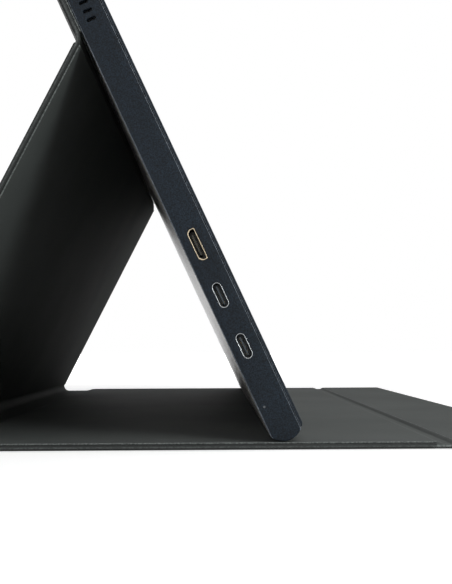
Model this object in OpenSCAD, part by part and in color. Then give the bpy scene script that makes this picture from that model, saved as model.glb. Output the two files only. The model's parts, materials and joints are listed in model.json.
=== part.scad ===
// Portable monitor standing in its folding cover, in millimetres.
// +X is the side of the screen, +Y runs across the width, +Z is up.
// The origin is the centre of the base panel's underside.

/* [Monitor] */
// Thickness from back to front
mon_t = 11.4; // [11:0.1:12]
// Radius of the rounded bottom and top ends
end_r = 6.4; // [6.2:0.1:8]
// Chamfer along the outer edges
edge_c = 0.4; // [0.2:0.1:0.6]
// Wall of the rear housing
wall = 1.6; // [1.4:0.1:1.7]
// Thickness of the front bezel
bezel_t = 1.3; // [1:0.1:1.5]
// Solid depth of the rounded ends before the hollow starts
end_wall = 4.2; // [4:0.1:5]
// Width of the bezel's lip inside the housing
lip_w = 1; // [0.8:0.1:1.2]

/* [Screen] */
// Width of the picture area
view_w = 344.2; // [300:0.1:400]
// Height of the picture area
view_h = 193.6; // [190:0.1:230]
// Bezel at each side of the picture area
bezel_side = 6.9; // [6.6:0.1:12]
// Bezel above the picture area
bezel_top = 8.4; // [8.2:0.1:14]
// Bezel below the picture area
chin = 22; // [21:0.5:24]
// Thickness of the liquid crystal cell
cell_t = 1; // [0.8:0.1:1.2]
// Thickness of the stack of three diffuser sheets
diffuser_t = 0.45; // [0.3:0.05:0.5]
// Thickness of the light guide
guide_t = 0.6; // [0.5:0.05:0.7]
// Thickness of the reflector sheet
reflector_t = 0.15; // [0.1:0.05:0.2]
// Thickness of the metal tray behind the screen
tray_t = 0.4; // [0.3:0.05:0.5]
// Thickness of the adhesive ring under the bezel
tape_t = 0.2; // [0.1:0.05:0.3]

/* [Ports] */
// Distance of the port centres from the back face
port_depth = 4.7; // [4.6:0.05:4.8]
// Height of the lowest port above the bottom
port_first = 34.2; // [32:0.1:36]
// Distance between ports
port_pitch = 18.5; // [16:0.1:20]
// Width of a small reversible receptacle, outside
data_w = 8.94; // [8.8:0.02:9]
// Thickness of that receptacle, outside
data_t = 3.26; // [3.2:0.02:3.3]
// Depth of that receptacle
data_len = 7.4; // [7:0.1:9]
// Width of the video receptacle, outside
video_w = 11.3; // [11:0.1:11.5]
// Thickness of the video receptacle, outside
video_t = 3; // [2.9:0.1:3.2]
// Depth of the video receptacle
video_len = 7.6; // [7:0.1:9]
// Sheet of the receptacle shells
shell_wall = 0.3; // [0.25:0.01:0.35]
// Radius of the audio jack's bore
jack_r = 1.8; // [1.76:0.01:1.85]
// Depth of the audio jack's bore
jack_len = 11; // [10:0.5:12]
// Radius of the audio jack's nose
jack_nose_r = 2.2; // [2.1:0.05:2.25]

/* [Keys] */
// Height of the audio jack above the bottom
jack_up = 34; // [32:0.5:38]
// Height of the power key's centre
power_up = 56; // [54:0.5:58]
// Height of the rocker key's centre
rocker_up = 82; // [80:0.5:84]
// Length of the power key
power_len = 8; // [7:0.5:9]
// Length of the rocker key
rocker_len = 20; // [18:0.5:20]
// Width of both keys across the housing's thickness
key_w = 2.4; // [2:0.1:2.6]
// Height of the keys above the side face
key_proud = 0.5; // [0.3:0.1:0.8]
// Travel of the power key
key_travel = 0.5; // [0.3:0.1:0.5]
// Thickness of the keys' inner flanges
key_flange_t = 0.8; // [0.6:0.1:0.8]
// Gap around the keys in their slots
key_gap = 0.25; // [0.2:0.05:0.3]
// Radius of the rocker's pivot post
pivot_r = 0.8; // [0.6:0.05:0.9]
// Running clearance on the rocker's pivot post
pivot_gap = 0.05; // [0.03:0.01:0.08]

/* [Cover] */
// How far the cover reaches past each side of the monitor
cover_side = 0.8; // [0.4:0.1:1.5]
// How far the cover reaches past the monitor's top
cover_top = 0.8; // [0.4:0.1:1.5]
// Outer skin of the cover
skin_t = 0.7; // [0.5:0.05:0.8]
// Stiffening board inside each panel
board_t = 1.2; // [1.1:0.05:1.4]
// Lining on the cover's inner side
lining_t = 0.5; // [0.4:0.05:0.6]
// Width of the turned hem around each board
hem = 1.6; // [1.2:0.1:2.5]
// Step of the lining's edge in from the skin's edge
lining_in = 0.6; // [0.4:0.1:1]
// Length of the base panel under the monitor, front to back
base_len = 161; // [158:1:170]
// Soft strip between the base panel and the rear fold
spine_w = 25.2; // [22:0.2:28]
// Soft groove between the base panel and the front flap
groove_w = 8.4; // [7:0.2:10]
// Length of the front flap
flap_len = 40.6; // [36:0.2:41]
// Soft strip at the rear fold, from the fold line to each panel
rear_strip = 7; // [6:0.2:8]
// Soft strip at the upper fold, from the fold line to each panel
apex_strip = 3; // [2.4:0.1:3.4]

/* [Stand] */
// Lean of the monitor from upright, in degrees
lean = 24.8; // [22:0.1:28]
// Distance from the rear fold to the upper fold
leg_fold = 153.4; // [150:0.1:156]
// Height of the upper fold up the monitor's back
fold_up = 151; // [149:0.5:152]
// Clearance under the monitor's rounded foot
foot_gap = 0.3; // [0.2:0.05:0.4]
// Clearance between the monitor's back and the panel that holds it
grip_gap = 0.2; // [0.15:0.05:0.3]

/* [Magnets] */
// Radius of the magnets in the back panel
magnet_r = 5; // [4:0.5:6]
// Radius of the magnets in the flap
flap_magnet_r = 4; // [3:0.5:5]
// Thickness of all magnets
magnet_t = 1; // [0.8:0.1:1]
// Distance of the outer magnets from the monitor's sides
magnet_side = 29; // [27:1:32]
// Width of the steel plates inside the housing
plate_w = 30; // [20:1:34]
// Height of the steel plates
plate_h = 14; // [10:1:18]
// Distance of the upper magnet row from the back panel's free edge
magnet_end = 20.4; // [18:0.2:22]
// Thickness of the steel plates inside the housing
plate_t = 0.5; // [0.4:0.1:0.6]

/* [Hidden] */
$fn = 48;
eps = 1;
fit = 0.1;
slip = 0.05;
mon_w = view_w + 2 * bezel_side;
mon_h = chin + view_h + bezel_top;

housing_color = "#2c3138";
leather_color = "#454846";
lining_color = "#3c3e3d";
board_color = "#7a7362";
metal_color = "#c9ccd0";
gold_color = "#c9a24a";
plastic_color = "#1b1d20";
pcb_color = "#1f5138";

// Cover sections
panel_t = skin_t + board_t + lining_t;
strip_t = skin_t + lining_t;
cover_w = mon_w + 2 * cover_side;
lining_slope = board_t;
crease_gap = 0.2;

// The stand's triangle: rear fold, upper fold and rounded foot
rear_fold_x = -base_len / 2 - spine_w;
fold_z = strip_t / 2;
foot_z = panel_t + foot_gap + end_r;
fold_back = mon_t / 2 + grip_gap + panel_t / 2;
apex_z = foot_z + (fold_up - end_r) * cos(lean) - fold_back * sin(lean);
leg_angle = asin((apex_z - fold_z) / leg_fold);
apex_x = rear_fold_x + leg_fold * cos(leg_angle);
foot_x = apex_x + (fold_up - end_r) * sin(lean) + fold_back * cos(lean);

// Panel lengths between the folds
leg_len = leg_fold - rear_strip - apex_strip;
back_from = fold_up + apex_strip;
back_len = mon_h + cover_top - back_from;

// Depths in the monitor, from the back face
seam = mon_t - bezel_t;
cell_back = seam - tape_t - cell_t;
diffuser_back = cell_back - diffuser_t;
guide_back = diffuser_back - guide_t;
reflector_back = guide_back - reflector_t;
tray_back = reflector_back - tray_t;
side_in = mon_w / 2 - wall;
board_back = wall + 0.4;
pcb_t = 1;
board_front = board_back + pcb_t;

// Screen pieces, as widths and heights above the bottom
opening_gap = 0.5;
cell_side = 2;
cell_low = 5;
tray_wall = 0.6;
tray_low = 8;
tray_side = cell_side + 0.3 + tray_wall;
sheet_side = 0.6;
led_h = 1.2;

// Main board, from the port side inwards and up
main_y = -side_in + 0.4;
main_len = 80;
main_low = 20;
main_high = 84;
chip_y = 37;
chip_up = 53;
chip_w = 14;
small_chip_w = 5;
chip_end = 19;
chip_top = 15;
capacitor_r = 2;
capacitor_h = 2.4;
capacitor_end = 26;
capacitor_low = 16;
capacitor_step = 6;
capacitor_top = 10;
can_room = 3;
can_t = 0.2;
can_h = 2.2;
film_t = 0.25;
film_w = 12;
cable_y = main_y + main_len - 30;
driver_past = 2;
driver_side = 52.1;
driver_h = 8;
side_cable_w = 8;
side_cable_up = 54;
port_inset = 0.15;
data_tongue_w = 6.69;
data_tongue_t = 0.7;
video_tongue_w = 7.6;
video_tongue_t = 0.8;
tongue_in = 1.1;
tongue_root = 1.4;
screw_r = 0.8;
screw_head_r = 1.7;
screw_head_t = 0.6;
boss_r = 2.2;
screw_in = 4;

// Side board with the jack and the keys
side_board_w = 16;
side_to = side_in - 4.2;
side_from = side_to - side_board_w;
side_low = 24;
side_high = 96;
jack_depth = 4.85;
jack_body_h = 6;
switch_h = 4.5;
switch_len = 3.2;
switch_face = side_in - fit - key_flange_t - key_travel - fit;
rocker_flange = 1.3;
pivot_y = side_in - 2.2;
pivot_hub = 0.9;
key_flange_side = 0.6;
flange_half = key_w / 2 + key_flange_side;

// Speakers and their slots, near the upper corners
speaker_top = 59;
speaker_up = mon_h - speaker_top;
speaker_h = 34;
speaker_in = 12;
speaker_t = 4.6;
slot_count = 7;
slot_pitch = 3.2;
slot_w = 1.2;
slot_t = 3.4;
wire_r = 0.5;

// Ribs that hold the screen off the rear wall
rib_t = 1.2;
rib_low = 96;
rib_high = mon_h - 12;
magnet_pitch = (mon_w - 2 * magnet_side) / 5;
rib_ys = [-2 * magnet_pitch, -magnet_pitch, magnet_pitch, 2 * magnet_pitch];
magnet_ys = [for (i = [-2.5 : 2.5]) i * magnet_pitch];
row_share = 0.424;
magnet_ups = [back_len * (1 - row_share) - magnet_end, back_len - magnet_end];
bar_w = 24;
bar_h = 4.8;

// The status light, low on the port side
light_depth = 2.2;
light_up = 13.3;
light_r = 0.4;

// Places

module at_monitor() {
    translate([foot_x, 0, foot_z]) rotate([0, -lean, 0]) translate([-mon_t / 2, 0, -end_r]) children();
}

module at_leg() {
    translate([rear_fold_x, 0, fold_z]) rotate([0, -leg_angle, 0]) children();
}

module at_leg_panel() {
    at_leg() translate([rear_strip, 0, panel_t / 2]) rotate([180, 0, 0]) children();
}

module at_back_panel() {
    at_monitor() translate([-grip_gap - panel_t, 0, back_from])
        rotate([0, -90, 0]) rotate([180, 0, 0]) children();
}

module at_base_panel() {
    translate([-base_len / 2, 0, 0]) children();
}

module at_flap() {
    translate([base_len / 2 + groove_w, 0, 0]) children();
}

// Shared shapes

// A section in X and Z, extruded across the width
module along_y(width) {
    rotate([90, 0, 0]) linear_extrude(width, center = true) children();
}

// A block given by its lowest and highest corners
module block(low, high) {
    translate(low) cube(high - low);
}

module stadium(thick, long) {
    square([thick, long - thick], center = true);
    for (side = [-1, 1])
        translate([0, side * (long - thick) / 2]) circle(thick / 2);
}

// A section on the port side's face, extruded inwards from the given depth
module from_port_side(up, depth, length, inset) {
    translate([depth, -mon_w / 2 + inset, up]) rotate([-90, 0, 0]) linear_extrude(length) children();
}

// A section on the key side's face, extruded inwards
module from_key_side(up, depth, length, inset) {
    translate([depth, mon_w / 2 - inset, up]) rotate([90, 0, 0]) linear_extrude(length) children();
}

// Cover panels, lying with the skin down and the fold at X = 0

module panel_skin(length, end_hem) {
    difference() {
        block([0, -cover_w / 2, 0], [length, cover_w / 2, skin_t + board_t]);
        block([-eps, -cover_w / 2 + hem, skin_t], [length - end_hem, cover_w / 2 - hem, panel_t]);
    }
}

module panel_board(length, end_hem) {
    half = cover_w / 2 - hem - fit;
    block([0, -half, skin_t], [length - end_hem - (end_hem > 0 ? fit : 0), half, skin_t + board_t]);
}

module panel_lining(length, end_step) {
    half = cover_w / 2 - lining_in;
    block([0, -half, skin_t + board_t], [length - end_step, half, panel_t]);
}

module magnet_row(radius, thick) {
    for (y = magnet_ys)
        translate([0, y, skin_t + fit]) cylinder(r = radius, h = thick);
}

// Base panel with its soft spine

spine_end = -base_len / 2 - spine_w + rear_strip;

module base_skin() {
    color(leather_color) union() {
        at_base_panel() panel_skin(base_len, 0);
        block([spine_end, -cover_w / 2, 0], [-base_len / 2 + fit, cover_w / 2, skin_t]);
    }
}

module base_board() {
    color(board_color) at_base_panel() panel_board(base_len, 0);
}

module base_lining() {
    rear = -base_len / 2;
    low = skin_t;
    top = skin_t + board_t;
    color(lining_color) along_y(cover_w - 2 * lining_in)
        polygon([[base_len / 2, top], [base_len / 2, panel_t], [rear - lining_t, panel_t],
            [rear - lining_t - lining_slope, low + lining_t], [spine_end, low + lining_t],
            [spine_end, low], [rear - lining_slope, low], [rear, top]]);
}

// Soft strip at the rear fold, from the spine up into the leg
module rear_crease() {
    color(leather_color) along_y(cover_w) {
        translate([rear_fold_x, 0]) square([rear_strip - crease_gap, strip_t]);
        translate([rear_fold_x, fold_z]) circle(strip_t / 2);
        translate([rear_fold_x, fold_z]) rotate(leg_angle)
            translate([0, -strip_t / 2]) square([rear_strip - crease_gap, strip_t]);
    }
}

// Leg of the stand

module leg_skin() {
    color(leather_color) at_leg_panel() panel_skin(leg_len, 0);
}

module leg_board() {
    color(board_color) at_leg_panel() panel_board(leg_len, 0);
}

module leg_lining() {
    color(lining_color) at_leg_panel() panel_lining(leg_len, 0);
}

// Soft strip at the upper fold, between the leg and the back panel
module apex_crease() {
    reach = apex_strip - crease_gap;
    color(leather_color) along_y(cover_w) {
        translate([apex_x, apex_z]) {
            circle(strip_t / 2);
            rotate(180 + leg_angle) translate([0, -strip_t / 2]) square([reach, strip_t]);
            rotate(90 + lean) translate([0, -strip_t / 2]) square([reach, strip_t]);
        }
    }
}

// Panel that holds the monitor's upper back with magnets

module back_skin() {
    color(leather_color) at_back_panel() panel_skin(back_len, hem);
}

module back_magnet_places() {
    for (up = magnet_ups)
        translate([up, 0, 0]) children();
}

module back_board() {
    color(board_color) at_back_panel() difference() {
        panel_board(back_len, hem);
        back_magnet_places() magnet_row(magnet_r + fit, panel_t);
    }
}

module back_magnets() {
    color(metal_color) at_back_panel() back_magnet_places() magnet_row(magnet_r, magnet_t);
}

module back_lining() {
    color(lining_color) at_back_panel() panel_lining(back_len, lining_in);
}

// Front flap

module groove_strip() {
    color(leather_color) block([base_len / 2 + crease_gap, -cover_w / 2, 0],
        [base_len / 2 + groove_w - crease_gap, cover_w / 2, strip_t]);
}

module flap_skin() {
    color(leather_color) at_flap() panel_skin(flap_len, hem);
}

module flap_board() {
    color(board_color) at_flap() difference() {
        panel_board(flap_len, hem);
        translate([flap_len / 2, 0, 0]) magnet_row(flap_magnet_r + fit, panel_t);
    }
}

module flap_magnets() {
    color(metal_color) at_flap() translate([flap_len / 2, 0, 0]) magnet_row(flap_magnet_r, magnet_t);
}

module flap_lining() {
    color(lining_color) at_flap() panel_lining(flap_len, lining_in);
}

// Monitor housing

module monitor_section() {
    intersection() {
        square([mon_t, mon_h]);
        union() {
            translate([mon_t / 2, end_r]) circle(end_r, $fn = 96);
            translate([mon_t / 2, mon_h - end_r]) circle(end_r, $fn = 96);
            translate([0, end_r]) square([mon_t, mon_h - 2 * end_r]);
        }
    }
}

// The whole monitor's outer form, chamfered along its edges
module monitor_form() {
    hull() {
        along_y(mon_w - 2 * edge_c) monitor_section();
        along_y(mon_w) offset(delta = -edge_c) monitor_section();
    }
}

// Outline of the video receptacle, narrower towards the back
module video_outline(grow) {
    half = video_w / 2 + grow;
    deep = video_t / 2 + grow;
    taper = 1.1;
    polygon([[deep, -half], [deep, half], [-deep + taper, half], [-deep, half - taper],
        [-deep, -half + taper], [-deep + taper, -half]]);
}

function port_up(i) = port_first + i * port_pitch;

module housing_cuts() {
    for (i = [0, 1])
        from_port_side(port_up(i), port_depth, wall + 2 * eps, -eps)
            stadium(data_t + 2 * fit, data_w + 2 * fit);
    from_port_side(port_up(2), port_depth, wall + 2 * eps, -eps) video_outline(fit);
    from_port_side(light_up, light_depth, wall + 2 * eps, -eps) circle(light_r + slip);
    from_key_side(jack_up, jack_depth, wall + 2 * eps, -eps) circle(jack_nose_r + fit);
    from_key_side(power_up, port_depth, wall + 2 * eps, -eps)
        stadium(key_w + 2 * key_gap, power_len + 2 * key_gap);
    from_key_side(rocker_up, port_depth, wall + 2 * eps, -eps)
        stadium(key_w + 2 * key_gap, rocker_len + 2 * key_gap);
    speaker_slots();
}

module speaker_slots() {
    for (i = [0 : slot_count - 1]) {
        up = speaker_up + (i - (slot_count - 1) / 2) * slot_pitch;
        from_port_side(up, port_depth, wall + 2 * eps, -eps) rotate(90) stadium(slot_w, slot_t);
        from_key_side(up, port_depth, wall + 2 * eps, -eps) rotate(90) stadium(slot_w, slot_t);
    }
}

module board_screw_places() {
    for (y = [main_y + screw_in + 6, main_y + main_len - screw_in])
        for (up = [main_low + screw_in, main_high - screw_in])
            translate([0, y, up]) rotate([0, 90, 0]) children();
    for (up = [side_low + screw_in - 1, side_high - screw_in])
        translate([0, side_from + screw_in, up]) rotate([0, 90, 0]) children();
}

module rear_housing() {
    color(housing_color) at_monitor() difference() {
        union() {
            difference() {
                monitor_form();
                block([seam, -mon_w, -eps], [2 * mon_t, mon_w, mon_h + eps]);
                block([wall, -side_in, end_wall], [2 * mon_t, side_in, mon_h - end_wall]);
                housing_cuts();
            }
            for (y = rib_ys)
                block([wall - fit, y - rib_t / 2, rib_low], [tray_back, y + rib_t / 2, rib_high]);
            board_screw_places() translate([0, 0, wall - fit])
                cylinder(r = boss_r, h = board_back - wall + fit);
            translate([wall - fit, pivot_y, rocker_up]) rotate([0, 90, 0])
                cylinder(r = pivot_r, h = tray_back - wall - 0.4);
        }
        board_screw_places() translate([0, 0, wall / 2]) cylinder(r = screw_r + slip, h = mon_t);
    }
}

module front_bezel() {
    lip_y = side_in - fit;
    lip_low = end_wall + fit;
    lip_high = mon_h - end_wall - fit;
    lip_back = cell_back;
    open_y = view_w / 2 + opening_gap;
    color(housing_color) at_monitor() difference() {
        union() {
            intersection() {
                monitor_form();
                block([seam, -mon_w, -eps], [2 * mon_t, mon_w, mon_h + eps]);
            }
            block([lip_back, -lip_y, lip_low], [seam + fit, lip_y, lip_high]);
        }
        block([lip_back - eps, -lip_y + lip_w, lip_low + lip_w], [seam, lip_y - lip_w, lip_high - lip_w]);
        block([lip_back - eps, -open_y, chin - opening_gap],
            [2 * mon_t, open_y, chin + view_h + opening_gap]);
    }
}

// Bars behind the upper bezel that hold the closed flap
module bezel_magnets() {
    top = mon_h - end_wall - fit;
    color(metal_color) at_monitor() for (side = [-2.5, -1.5, 1.5, 2.5])
        block([wall + fit, side * magnet_pitch - bar_w / 2, top - bar_h],
            [tray_back - fit, side * magnet_pitch + bar_w / 2, top]);
}

// Screen stack

module screen_sheet(from, thick, side, low, high) {
    block([from, -view_w / 2 - side, chin - low],
        [from + thick, view_w / 2 + side, chin + view_h + high]);
}

module screen_tape() {
    color("#101214") at_monitor() difference() {
        screen_sheet(seam - tape_t, tape_t, cell_side, cell_low, cell_side);
        screen_sheet(seam - tape_t - eps, 2 * eps + tape_t, opening_gap, opening_gap, opening_gap);
    }
}

module lcd_cell() {
    color("#15181c") at_monitor() screen_sheet(cell_back, cell_t, cell_side, cell_low, cell_side);
}

module diffuser_sheets() {
    color("#e8e8e4") at_monitor()
        screen_sheet(diffuser_back, diffuser_t, sheet_side, sheet_side, sheet_side);
}

module light_guide() {
    color("#dfe6e8") at_monitor() screen_sheet(guide_back, guide_t, sheet_side, sheet_side, sheet_side);
}

module reflector_sheet() {
    color("#f2f2f0") at_monitor()
        screen_sheet(reflector_back, reflector_t, sheet_side, sheet_side + led_h, sheet_side);
}

// Row of lamps along the light guide's lower edge
module led_strip() {
    lamp_count = 36;
    lamp_w = 3;
    top = chin - sheet_side - slip;
    color("#f4efc8") at_monitor() {
        block([guide_back + guide_t / 2, -view_w / 2, top - led_h], [cell_back, view_w / 2, top]);
        for (i = [0 : lamp_count - 1]) {
            y = (i - (lamp_count - 1) / 2) * view_w / lamp_count;
            block([guide_back, y - lamp_w / 2, top - led_h],
                [guide_back + guide_t / 2 + slip, y + lamp_w / 2, top]);
        }
    }
}

module panel_tray() {
    high = tray_side;
    color(metal_color) at_monitor() difference() {
        screen_sheet(tray_back, seam - tape_t - tray_back, tray_side, tray_low, high);
        screen_sheet(reflector_back, mon_t, tray_side - tray_wall, tray_low - tray_wall, high - tray_wall);
    }
}

module driver_board() {
    low = chin - tray_low + 1;
    color(pcb_color) at_monitor()
        block([tray_back - pcb_t, cable_y - film_w / 2 - driver_past, low],
            [tray_back, view_w / 2 - driver_side, low + driver_h]);
}

// Flat cable from the screen's driver board down to the main board
module panel_cable() {
    low = chin - tray_low + 3;
    turn = main_low + 8;
    high = turn + 6;
    front = tray_back - pcb_t;
    color("#20242a") at_monitor() translate([0, cable_y, 0]) along_y(film_w)
        polygon([[front - film_t, low], [front, low], [front, turn], [board_front + film_t, turn],
            [board_front + film_t, high], [board_front, high], [board_front, turn - film_t],
            [front - film_t, turn - film_t]]);
}

// Electronics

module main_board() {
    color(pcb_color) at_monitor() difference() {
        block([board_back, main_y, main_low], [board_front, main_y + main_len, main_high]);
        board_screw_places() cylinder(r = screw_r + fit, h = mon_t);
    }
}

module chip(y, up, width, thick) {
    block([board_front, y - width / 2, up - width / 2], [board_front + thick, y + width / 2, up + width / 2]);
}

module board_chips() {
    color("#202225") at_monitor() {
        chip(main_y + chip_y, chip_up, chip_w, 1.2);
        for (i = [0, 1])
            chip(main_y + chip_y / 2, (port_up(i) + port_up(i + 1)) / 2, small_chip_w, 0.9);
        chip(main_y + main_len - chip_end, main_high - chip_top, small_chip_w, 0.9);
        for (up = [main_low + capacitor_low, main_low + capacitor_low + capacitor_step,
            main_high - capacitor_top])
            translate([board_front, main_y + main_len - capacitor_end, up]) rotate([0, 90, 0])
                cylinder(r = capacitor_r, h = capacitor_h);
    }
}

// Stamped can over the largest chip
module chip_shield() {
    half = chip_w / 2 + can_room;
    y = main_y + chip_y;
    color(metal_color) at_monitor() difference() {
        block([board_front, y - half, chip_up - half], [board_front + can_h, y + half, chip_up + half]);
        block([board_front - eps, y - half + can_t, chip_up - half + can_t],
            [board_front + can_h - can_t, y + half - can_t, chip_up + half - can_t]);
    }
}

module board_screws() {
    color(metal_color) at_monitor() board_screw_places() {
        translate([0, 0, board_front]) difference() {
            cylinder(r = screw_head_r, h = screw_head_t);
            translate([-screw_r, -0.2, screw_head_t / 2]) cube([2 * screw_r, 0.4, eps]);
            translate([-0.2, -screw_r, screw_head_t / 2]) cube([0.4, 2 * screw_r, eps]);
        }
        translate([0, 0, wall / 2 + fit]) cylinder(r = screw_r, h = board_front - wall / 2);
    }
}

// Receptacle shells and their tongues

module data_port_shell(i) {
    color(metal_color) at_monitor() from_port_side(port_up(i), port_depth, data_len, port_inset)
        difference() {
            stadium(data_t, data_w);
            stadium(data_t - 2 * shell_wall, data_w - 2 * shell_wall);
        }
}

module data_port_tongue(i) {
    inner_t = data_t - 2 * shell_wall - 2 * slip;
    inner_w = data_w - 2 * shell_wall - 2 * slip;
    root_at = port_inset + data_len - tongue_root;
    tongue_at = port_inset + tongue_in;
    color(plastic_color) at_monitor() {
        from_port_side(port_up(i), port_depth, tongue_root, root_at) stadium(inner_t, inner_w);
        from_port_side(port_up(i), port_depth, root_at - tongue_at + slip, tongue_at)
            square([data_tongue_t, data_tongue_w], center = true);
    }
}

module data_port_shell_lower() {
    data_port_shell(0);
}

module data_port_tongue_lower() {
    data_port_tongue(0);
}

module data_port_shell_upper() {
    data_port_shell(1);
}

module data_port_tongue_upper() {
    data_port_tongue(1);
}

module video_port_shell() {
    color(gold_color) at_monitor() from_port_side(port_up(2), port_depth, video_len, port_inset)
        difference() {
            video_outline(0);
            video_outline(-shell_wall);
        }
}

module video_port_tongue() {
    root_at = port_inset + video_len - tongue_root;
    tongue_at = port_inset + tongue_in;
    color(plastic_color) at_monitor() {
        from_port_side(port_up(2), port_depth, tongue_root, root_at) video_outline(-shell_wall - slip);
        from_port_side(port_up(2), port_depth, root_at - tongue_at + slip, tongue_at)
            square([video_tongue_t, video_tongue_w], center = true);
    }
}

// Status light

module status_light_pipe() {
    color("#e6ecf2") at_monitor() from_port_side(light_up, light_depth, wall + 0.4, slip) circle(light_r);
}

module status_led() {
    y = -side_in + 0.4 + slip;
    color("#d9dcc0") at_monitor() {
        block([wall + slip, y, light_up - 0.8], [wall + 1.1, y + 1, light_up + 0.8]);
        block([wall + slip, y, light_up + 0.7], [wall + 0.25, y + 2, main_low + 1.5]);
    }
}

// Side board, jack, keys and switches

module side_board() {
    color(pcb_color) at_monitor() difference() {
        block([board_back, side_from, side_low], [board_front, side_to, side_high]);
        block([board_back - eps, side_to - 11, jack_up - jack_body_h / 2 - fit],
            [board_front + eps, side_to + eps, jack_up + jack_body_h / 2 + fit]);
        board_screw_places() cylinder(r = screw_r + fit, h = mon_t);
    }
}

module audio_jack() {
    body_len = jack_len + 1 - wall;
    color(plastic_color) at_monitor() difference() {
        union() {
            block([jack_depth - jack_nose_r, side_in - fit - body_len, jack_up - jack_body_h / 2],
                [jack_depth + jack_nose_r, side_in - fit, jack_up + jack_body_h / 2]);
            from_key_side(jack_up, jack_depth, wall + 0.5, port_inset) circle(jack_nose_r);
        }
        from_key_side(jack_up, jack_depth, jack_len, port_inset) circle(jack_r);
        from_key_side(jack_up, jack_depth, eps, port_inset - eps) circle(jack_r);
    }
}

module side_switch(up, face) {
    body_front = port_depth + 1.3;
    block([board_front, side_to - switch_len + 1, up - switch_h / 2],
        [body_front, side_to + 1, up + switch_h / 2]);
    translate([port_depth, side_to + 1 - slip, up]) rotate([-90, 0, 0])
        cylinder(r = 0.8, h = face - side_to - 1 + slip);
}

module key_switches() {
    color("#b9bcc0") at_monitor() {
        side_switch(power_up, switch_face);
        side_switch(rocker_up - rocker_len * 0.4, side_in - 1.8);
        side_switch(rocker_up + rocker_len * 0.4, side_in - 1.8);
    }
}

// Flat cable behind both boards
module side_cable() {
    color("#e9e6da") at_monitor()
        block([board_back - slip - film_t, main_y + main_len - 12, side_cable_up - side_cable_w / 2],
            [board_back - slip, side_from + 10, side_cable_up + side_cable_w / 2]);
}

module power_key() {
    flange_face = side_in - fit;
    color(housing_color) at_monitor() {
        from_key_side(power_up, port_depth, wall + key_proud + fit + slip, -key_proud)
            stadium(key_w, power_len);
        block([port_depth - flange_half, flange_face - key_flange_t, power_up - power_len / 2 - 1],
            [port_depth + flange_half, flange_face, power_up + power_len / 2 + 1]);
    }
}

module rocker_key() {
    flange_face = side_in - rocker_flange + key_flange_t;
    hub_r = pivot_r + pivot_gap + pivot_hub;
    color(housing_color) at_monitor() difference() {
        union() {
            from_key_side(rocker_up, port_depth, mon_w / 2 + key_proud - flange_face + slip, -key_proud)
                stadium(key_w, rocker_len);
            block([port_depth - flange_half, flange_face - key_flange_t, rocker_up - rocker_len / 2 - 1],
                [port_depth + flange_half, flange_face, rocker_up + rocker_len / 2 + 1]);
            translate([port_depth - flange_half, pivot_y, rocker_up]) rotate([0, 90, 0])
                cylinder(r = hub_r, h = 2 * flange_half);
        }
        translate([0, pivot_y, rocker_up]) rotate([0, 90, 0]) cylinder(r = pivot_r + pivot_gap, h = mon_t);
    }
}

// Speakers

module speaker(side) {
    face = side * (side_in - fit);
    inner = side * (side_in - fit - speaker_in);
    color(plastic_color) at_monitor() difference() {
        block([wall + fit, min(face, inner), speaker_up - speaker_h / 2],
            [wall + fit + speaker_t, max(face, inner), speaker_up + speaker_h / 2]);
        translate([wall + fit + speaker_t / 2, face, speaker_up]) rotate([-side * 90, 0, 0])
            translate([0, 0, -1]) linear_extrude(2) stadium(slot_t, speaker_h - 8);
    }
}

module speaker_near() {
    speaker(-1);
}

module speaker_far() {
    speaker(1);
}

// Two pairs of wires from the speakers down to the main board
module speaker_wires() {
    depth = wall + wire_r + fit;
    near_y = -side_in + 9;
    far_y = side_in - 9;
    inner_y = side_from - 3;
    low = speaker_up - speaker_h / 2;
    cross_up = main_high + 4;
    color("#7c1f1f") at_monitor() {
        translate([depth, near_y, main_high + slip]) cylinder(r = wire_r, h = low - main_high - 2 * slip);
        translate([depth, far_y, side_high + 3]) cylinder(r = wire_r, h = low - side_high - 3 - slip);
        translate([depth, far_y, side_high + 3]) sphere(wire_r);
        translate([depth, far_y, side_high + 3]) rotate([90, 0, 0]) cylinder(r = wire_r, h = far_y - inner_y);
        translate([depth, inner_y, side_high + 3]) sphere(wire_r);
        translate([depth, inner_y, cross_up]) cylinder(r = wire_r, h = side_high + 3 - cross_up);
        translate([depth, inner_y, cross_up]) sphere(wire_r);
        translate([depth, inner_y, cross_up]) rotate([90, 0, 0])
            cylinder(r = wire_r, h = inner_y - main_y - main_len + screw_in);
        translate([depth, main_y + main_len - screw_in, cross_up]) sphere(wire_r);
        translate([depth, main_y + main_len - screw_in, main_high + slip])
            cylinder(r = wire_r, h = cross_up - main_high - slip);
    }
}

// Steel plates that the back panel's magnets pull on
module magnet_plates() {
    color(metal_color) at_monitor() for (y = magnet_ys)
        for (up = magnet_ups)
            block([wall, y - plate_w / 2, back_from + up - plate_h / 2],
                [wall + plate_t, y + plate_w / 2, back_from + up + plate_h / 2]);
}

base_skin();
base_board();
base_lining();
rear_crease();
leg_skin();
leg_board();
leg_lining();
apex_crease();
back_skin();
back_board();
back_lining();
back_magnets();
groove_strip();
flap_skin();
flap_board();
flap_lining();
flap_magnets();
rear_housing();
front_bezel();
bezel_magnets();
screen_tape();
lcd_cell();
diffuser_sheets();
light_guide();
reflector_sheet();
led_strip();
panel_tray();
driver_board();
panel_cable();
main_board();
board_chips();
chip_shield();
board_screws();
video_port_shell();
video_port_tongue();
data_port_shell_upper();
data_port_tongue_upper();
data_port_shell_lower();
data_port_tongue_lower();
audio_jack();
side_board();
key_switches();
side_cable();
speaker_near();
speaker_far();
speaker_wires();
status_light_pipe();
status_led();
magnet_plates();
power_key();
rocker_key();
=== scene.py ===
"""Portable monitor standing in its folding cover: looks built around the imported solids."""
import functools
import json
import math

import bmesh
import bpy
import numpy as np
from mathutils import Matrix, Vector


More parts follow.
